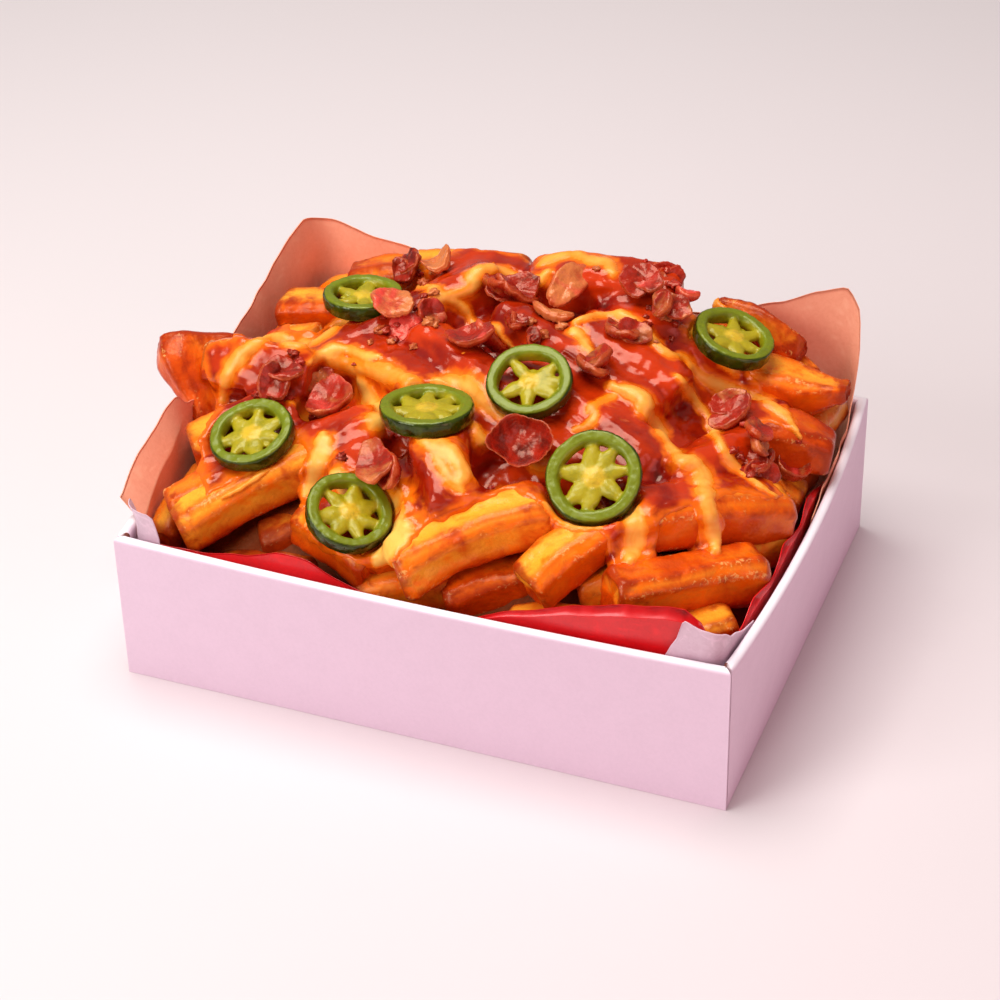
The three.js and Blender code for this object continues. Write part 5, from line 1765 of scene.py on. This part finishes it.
@dataclass(frozen=True)
class ChilliSlice:
    """One slice of green chilli: where it lies, which way it faces, and the ribs in it.

    A rib is an angle in degrees, clockwise from the top as the photograph shows it.
    """

    at: Point
    normal: Point
    radius: float
    ribs: tuple[float, ...]
    seed: int
    thickness: float = 4.8
    wall: float = 0.72
    voxel: float = 0.4
    seeds: int = 4
    heart: Point = (0.27, 0.24, 0.13)
    seed_size: Point = (1.3, 1.1, 0.6)
    bed_gap: float = 0.25

    def _lathe(self, outline: Sequence[Pixel], wobble: Callable[[Array], Array]) -> Skin:
        """A ring with a closed outline of [share of the radius, height] points."""
        turns = np.linspace(0, 2 * np.pi, 96, endpoint=False)
        rings = []
        for share, z in outline:
            r = self.radius * share * (1 + wobble(turns) * (1.0 if share > 0.85 else 2.2))
            rings.append(np.stack([r * np.cos(turns), r * np.sin(turns), np.full(len(turns), z)], 1))
        rings.append(rings[0])
        points = np.vstack(rings[:-1])
        quads = grid_quads(len(rings), len(turns), True) % len(points)
        return Skin(points, quads)

    def _rib(self, angle: float, draws: SeededDraws) -> Skin:
        """One rib from the heart to the wall."""
        turn = math.pi / 2 - math.radians(angle)
        out = np.array([math.cos(turn), math.sin(turn), 0.0])
        side = np.array([-out[1], out[0], 0.0])
        reach = self.radius * (self.wall + 0.06)
        swell = draws.between(0.85, 1.3)
        bend = draws.between(-1, 1) * 0.06 * self.radius
        rings = []
        for t in np.linspace(0.0, 1.0, 9):
            wide = self.radius * (0.085 + 0.11 * math.sin(math.pi * t) ** 1.5) * swell
            tall = self.thickness * (0.22 + 0.1 * t)
            lift = np.array([0, 0, 0.25 - 0.35 * t])
            spot = out * (reach * t) + side * bend * math.sin(math.pi * t) + lift
            ring = [
                spot + side * wide * math.cos(k) + np.array([0, 0, 1.0]) * tall * math.sin(k)
                for k in np.linspace(0, 2 * np.pi, 14, endpoint=False)
            ]
            rings.append(np.array(ring))
        return tube_skin(rings)

    def _blob(self, spot: Array, size: Array) -> Skin:
        """A rounded lump."""
        return tube_skin([spot + ring * size for ring in ball_rings(9, 16, 0.96)])

    def pressed(self, points: Array) -> Array:
        """Points, with those that this slice would hold moved down to its underside."""
        out = unit(np.array(self.normal, float))
        local = points - np.array(self.at)
        rise = local @ out
        aside = np.linalg.norm(local - rise[:, None] * out, axis=1) / self.radius
        floor = -self.thickness / 2 - self.bed_gap
        held = smooth_step(1.12, 1.0, aside) * (rise < self.thickness * 2)
        return points - out * (np.maximum(rise - floor, 0) * held)[:, None]

    def skin(self, view: Viewpoint) -> Skin:
        """The slice's surface."""
        draws = SeededDraws(self.seed)
        half = self.thickness / 2
        phase = draws.between(0, 6)

        def wobble(turns: Array) -> Array:
            """How far the wall is from a circle."""
            return 0.014 * np.sin(2 * turns + phase) + 0.009 * np.sin(5 * turns + 2 * phase)

        wall = (
            (1.0, -half * 0.5), (1.012, 0.0), (1.005, half * 0.7), (0.985, half * 0.94), (0.95, half),
            (0.8, half), (0.75, half * 0.9), (self.wall, half * 0.5), (self.wall - 0.01, -half * 0.5),
            (0.8, -half * 0.95), (0.95, -half), (0.985, -half * 0.85),
        )
        parts = [self._lathe(wall, wobble)]
        parts += [self._rib(angle + draws.between(-4, 4), draws) for angle in self.ribs]
        parts.append(self._blob(np.array([0, 0, 0.2]), np.array(self.heart) * self.radius))
        for _ in range(self.seeds):
            turn, out = draws.between(0, 2 * math.pi), draws.between(0.3, 0.5) * self.radius
            spot = np.array([math.cos(turn) * out, math.sin(turn) * out, draws.between(-0.8, 0.3)])
            parts.append(self._blob(spot, np.array(self.seed_size) * draws.between(0.8, 1.1)))
        skin = remeshed(Skin.joined(parts), self.voxel).smoothed(2)
        local = skin.points
        skin.points = local + skin.normals() * (Lumps(self.seed).at(local, 2.2, 2) * 0.14)[:, None]
        share = np.hypot(local[:, 0], local[:, 1]) / self.radius
        upright = smooth_step(0.6, 0.3, np.abs(skin.normals()[:, 2]))
        skin.values = {
            "skin": np.maximum(smooth_step(0.96, 0.985, share), smooth_step(0.9, 0.97, share) * upright),
            "wall": smooth_step(self.wall - 0.06, self.wall + 0.03, share),
            "heart": smooth_step(0.42, 0.1, share),
        }
        out = unit(np.array(self.normal, float))
        top = view.axes()[1]
        y = unit(top - out * (top @ out))
        x = np.cross(y, out)
        skin.points = skin.points @ np.array([x, y, out]) + np.array(self.at)
        return skin

    def build(self, view: Viewpoint, number: int, material: bpy.types.Material) -> None:
        """Adds the slice."""
        name, node = f"chilli_slice_{number}", f"jalapeno_{number}"
        add_piece(name, self.skin(view), material, [node])


CHILLI_SLICES = (
    ChilliSlice((-61.5, -36, 67), (-0.1, -0.33, 1), 12, (5, 55, 100, 150, 205, 250, 310), 41),
    ChilliSlice((-25, -53, 60), (0.4, -0.25, 1), 12.2, (20, 75, 120, 170, 215, 262, 320), 42),
    ChilliSlice((-14, -21.5, 76.5), (-0.05, 0.12, 1), 13.2, (0, 45, 88, 130, 175, 225, 270, 318), 43),
    ChilliSlice((10.5, -5, 81), (0.05, -0.45, 1), 12, (318, 48, 88, 122, 180, 242), 44),
    ChilliSlice((38.5, -30.5, 71.5), (0.15, -0.8, 1), 13.2, (0, 38, 78, 125, 192, 222, 283), 45),
    ChilliSlice((56, 40.5, 78), (0.3, 0, 1), 11.9, (20, 80, 130, 190, 240, 300), 46),
    ChilliSlice((-53.5, 26, 78.5), (-0.03, 0.08, 1), 11.7, (10, 70, 120, 180, 240, 300), 47),
)


@dataclass(frozen=True)
class Cut:
    """A kind of bacon bit.

    It has shares of pink and tan, heights of its lumps and its cupped rim in mm, and a count of
    chunks.
    """

    pink: float
    tan: float
    lumps: float
    cup: float = 0.4
    chunks: int = 1


class Meat(Enum):
    """Kinds of bacon bit that the photograph shows."""

    DARK = Cut(0.0, 0.0, 1.6, 0.6, 3)
    RED = Cut(0.3, 0.0, 1.0, 0.8, 2)
    CUPPED = Cut(0.0, 0.0, 0.3, 5.0)
    PINK = Cut(1.0, 0.0, 0.8)
    PALE = Cut(0.6, 0.68, 0.8)
    TAN = Cut(0.2, 0.75, 1.0)
    BROWN = Cut(0.2, 0.36, 1.2, 0.8, 2)
    CURLED = Cut(0.4, 0.35, 0.7, 2.4)


@dataclass(frozen=True)
class BaconBits:
    """All bits of bacon, each on the solid that it stands for."""

    kinds: tuple[Meat, ...] = (
        Meat.PALE, Meat.PINK, Meat.DARK, Meat.TAN, Meat.BROWN, Meat.RED, Meat.DARK, Meat.PALE,
        Meat.TAN, Meat.DARK, Meat.DARK, Meat.TAN, Meat.CURLED, Meat.BROWN, Meat.CUPPED, Meat.BROWN,
        Meat.BROWN, Meat.RED, Meat.DARK, Meat.PINK, Meat.BROWN, Meat.BROWN, Meat.BROWN, Meat.DARK,
        Meat.CURLED, Meat.RED,
    )
    rings: int = 13
    around: int = 72
    half_thickness: float = 1.4
    chunk_size: tuple[float, float] = (0.74, 0.94)
    chunk_detail: float = 0.62
    chunk_spread: float = 0.36
    chunk_bend: tuple[float, ...] = (0.0, 0.03, 0.0, 0.03)
    first_seed: int = 900

    def _solid_points(self, frame: dict, node: str) -> Array:
        """The corners of a bit's solid, in millimetres."""
        mesh = frame["nodes"][node].data
        return np.array([v.co[:] for v in mesh.vertices], float) / MM

    def _flake(self, half: Array, fit: Array, tone: Cut, seed: int, fine: float) -> Skin:
        """One flake of meat round its own middle.

        Args:
            half: Half its length and width.
            fit: How it bends: its height as a sum of 1, x², xy and y².
            tone: What kind of bacon it is.
            seed: Seed of its lumps.
            fine: Share of the full number of points.

        Returns:
            Its surface, with pink, tan and rim values.
        """
        around = int(self.around * fine)
        lumps = Lumps(seed)
        turns = np.linspace(0, 2 * np.pi, around, endpoint=False)
        round_points = np.stack([np.cos(turns), np.sin(turns), np.zeros(around)], 1)
        outline = 1.04 + lumps.at(round_points * 5, 5.0, 2) * 0.2
        outline = outline + lumps.at(round_points * 26, 3.0) * 0.05
        shares = np.concatenate([np.linspace(0.08, 0.9, int(self.rings * fine) - 4), [0.95, 0.985, 1.0]])
        rows, rim = [], []
        for face, order in ((1, shares), (-1, shares[::-1])):
            for share in order:
                flat = round_points[:, :2] * half * (outline * share)[:, None]
                spot = np.column_stack([flat, np.zeros(around)])
                x, y = flat.T
                bend = fit[0] + fit[1] * x**2 + fit[2] * x * y + fit[3] * y**2
                folds = np.abs(lumps.at(spot + 300, 5.2)) * 0.7 + lumps.at(spot + 200, 6.0, 2) * 0.7
                crumple = folds * tone.lumps + tone.cup * share**3
                grain = lumps.at(spot + 400 + 60 * face, 1.5, 2) * 0.2
                thick = self.half_thickness * (1 - share**10) ** 0.5
                thick = thick * (1 + 0.4 * lumps.at(spot + 500, 3.4))
                up = bend + crumple * (0.3 + 0.7 * share) + face * thick + grain * (1 - share**8)
                rows.append(np.column_stack([flat, up]))
                rim.append(np.full(around, share**5))
        skin = tube_skin([r[::-1] for r in rows])
        bands = lumps.at(skin.points * (1, 0.25, 0) + 700, 4.6, 2)
        skin.values = {
            "pink": np.clip(tone.pink + bands * 0.45 * (tone.pink > 0), 0, 1),
            "tan": np.clip(tone.tan - bands * 0.5 * (tone.tan > 0), 0, 1),
            "rim": np.concatenate([*rim, [0.0, 0.0]]),
        }
        return skin

    def _cluster(self, half: Array, tone: Cut, seed: int) -> Skin:
        """Chunks of meat, each turned its own way, round one middle."""
        draws = SeededDraws(seed)
        chunks = []
        for k in range(tone.chunks):
            size = half * draws.between(*self.chunk_size)
            chunk = self._flake(size, np.array(self.chunk_bend), tone, seed + 50 * k, self.chunk_detail)
            turn = 2 * math.pi * (k + draws.share() * 0.5) / tone.chunks
            aim = Matrix.Rotation(draws.between(-0.8, 0.8), 3, "X")
            aim = aim @ Matrix.Rotation(draws.between(-0.7, 0.7), 3, "Y")
            aim = aim @ Matrix.Rotation(draws.between(0, 6), 3, "Z")
            out = half * self.chunk_spread
            chunk.points = chunk.points @ np.array(aim).T
            chunk.points += (math.cos(turn) * out[0], math.sin(turn) * out[1], draws.between(-0.2, 1.0))
            chunks.append(chunk)
        return Skin.joined(chunks)

    def _bit(self, points: Array, kind: Meat, seed: int) -> Skin:
        """One bit, a flake or a cluster of chunks, on the middle of its solid."""
        middle = points.mean(0)
        axes = np.linalg.svd(points - middle, full_matrices=False)[2]
        if axes[2, 2] < 0:
            axes[2] *= -1
        axes[1] = np.cross(axes[2], axes[0])
        x, y, z = ((points - middle) @ axes.T).T
        half = np.array([np.ptp(x), np.ptp(y)]) / 2
        if kind.value.chunks == 1:
            terms = np.stack([np.ones(len(x)), x * x, x * y, y * y], 1)
            fit = np.linalg.lstsq(terms, z, rcond=None)[0]
            skin = self._flake(half, fit, kind.value, seed, 1.0)
        else:
            skin = self._cluster(half, kind.value, seed)
        skin.points = skin.points @ axes + middle
        return skin

    def build(self, frame: dict, material: bpy.types.Material) -> Skin:
        """Adds the bits and gives back their surface."""
        nodes = [f"bacon_{k + 1:02d}" for k in range(len(self.kinds))]
        skin = Skin.joined([
            self._bit(self._solid_points(frame, node), kind, self.first_seed + k)
            for k, (node, kind) in enumerate(zip(nodes, self.kinds))
        ])
        add_piece("bacon_bits", skin, material, nodes)
        return skin


@dataclass(frozen=True)
class BaconCrumbs:
    """Crumbs that fell off the bits."""

    count: int = 90
    size: tuple[float, float] = (0.6, 1.7)
    reach: tuple[float, float] = (3.0, 9.0)
    seed: int = 71
    flatness: float = 0.6
    raggedness: float = 0.85
    half_length: float = 84.0
    half_width: float = 60.0
    above: float = 150.0

    def _crumb(self, spot: Array, size: float, seed: int) -> Skin:
        """One crumb."""
        skin = tube_skin([ring * (1, 1, self.flatness) * size for ring in ball_rings(8, 14, 0.95)])
        lumps = Lumps(seed).at(skin.points / size * 3, 1.7, 2) * self.raggedness
        skin.points += skin.points * lumps[:, None] + spot
        share = SeededDraws(seed).share()
        tones = {"pink": 0.5 * (share > 0.7), "tan": 0.7 * (share < 0.35), "rim": 0.6}
        skin.values = {name: np.full(len(skin.points), tone) for name, tone in tones.items()}
        return skin

    def build(self, bits: Skin, bed: BVHTree, material: bpy.types.Material) -> None:
        """Adds the crumbs."""
        draws = SeededDraws(self.seed)
        crumbs = []
        while len(crumbs) < self.count:
            start = bits.points[int(draws.share() * len(bits.points))]
            turn, out = draws.between(0, 2 * math.pi), draws.between(*self.reach)
            x, y = start[0] + math.cos(turn) * out, start[1] + math.sin(turn) * out
            hit = bed.ray_cast(Vector((x, y, self.above)), Vector((0, 0, -1)))[0]
            if hit is None or abs(x) > self.half_length or abs(y) > self.half_width:
                continue
            size = draws.between(*self.size)
            crumbs.append(self._crumb(np.array(hit) + (0, 0, size * 0.3), size, 2000 + len(crumbs)))
        add_piece("bacon_crumbs", Skin.joined(crumbs), material)


# Studio


@dataclass(frozen=True)
class Lamp:
    """A soft square light: its place and size in metres, its power in watts and its colour."""

    name: str
    spot: Point
    size: float
    power: float
    colour: Colour

    def place(self, target: Point) -> None:
        """Adds the light, turned to the target."""
        light = bpy.data.lights.new(self.name, "AREA")
        light.shape = "SQUARE"
        light.size = self.size
        light.energy = self.power
        light.color = self.colour
        holder = bpy.data.objects.new(self.name, light)
        holder.location = self.spot
        holder.rotation_euler = (Vector(target) - Vector(self.spot)).to_track_quat("-Z", "Y").to_euler()
        bpy.context.scene.collection.objects.link(holder)


@dataclass(frozen=True)
class Studio:
    """A pale floor and soft lights."""

    floor_colour: Colour = linear(226, 216, 216)
    floor_half: float = 1500.0
    floor_z: float = -0.1
    ambient: float = 0.26
    ambient_colour: Colour = (1.0, 0.97, 0.97)
    target: Point = (0, 0, 0.05)
    lamps: tuple[Lamp, ...] = (
        Lamp("key", (-0.5, -0.7, 0.55), 0.5, 4.9, (1.0, 0.98, 0.98)),
        Lamp("top", (-0.16, 0.02, 0.88), 0.6, 7.3, (1.0, 0.99, 0.97)),
        Lamp("fill", (0.75, -0.5, 0.4), 0.6, 2.1, (1.0, 0.44, 0.54)),
    )

    def build(self) -> None:
        """Adds the floor, the lights and the surroundings."""
        scene = bpy.context.scene
        scene.view_settings.view_transform = "Standard"
        scene.view_settings.look = "None"
        world = bpy.data.worlds.new("studio")
        world.use_nodes = True
        back = world.node_tree.nodes["Background"]
        back.inputs["Color"].default_value = (*self.ambient_colour, 1.0)
        back.inputs["Strength"].default_value = self.ambient
        scene.world = world
        for lamp in self.lamps:
            lamp.place(self.target)
        g = Graph("pale_floor")
        mottle = g.noise(g.place(), 6.0, 2.0)
        shade = g.blend(mottle * 0.25, self.floor_colour, tuple(c * 0.93 for c in self.floor_colour))
        material = g.finish({"Base Color": shade, "Roughness": 0.8 + mottle * 0.1})
        signs = ((-1, -1), (1, -1), (1, 1), (-1, 1))
        points = np.array([[x * self.floor_half, y * self.floor_half, self.floor_z] for x, y in signs])
        floor = bpy.data.objects.new("floor", Skin(points, np.array([[0, 1, 2, 3]])).mesh("floor"))
        floor.data.materials.append(material)
        scene.collection.objects.link(floor)


def corners(bounds: tuple[Vector, Vector]) -> list[list[float]]:
    """A box's lowest and highest corner as plain lists."""
    return [list(corner) for corner in bounds]


def main() -> None:
    """Builds the box, its paper, the heap, the sauce and the toppings."""
    logging.basicConfig(level=logging.INFO, format="%(message)s")
    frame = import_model()
    view = Viewpoint()
    view.place()
    Studio().build()
    box = CardBox()
    box.build()
    cavity = Cavity(box)
    for sheet in (KRAFT, RED, LEFT_CORNER, RIGHT_CORNER):
        sheet.build(cavity)
    heap = Heap(cavity).build(CHILLI_SLICES)
    coat = SauceCoat(view, CHILLI_SLICES).build(heap)
    chilli = ChilliFinish().material()
    for number, slice_ in enumerate(CHILLI_SLICES, 1):
        slice_.build(view, number, chilli)
    meat = BaconFinish().material()
    bits = BaconBits().build(frame, meat)
    bed = Skin.joined([Skin(skin.points, skin.quads, skin.tris) for skin in (heap, coat)]).tree()
    BaconCrumbs().build(bits, bed, meat)


if __name__ == "__main__":
    main()
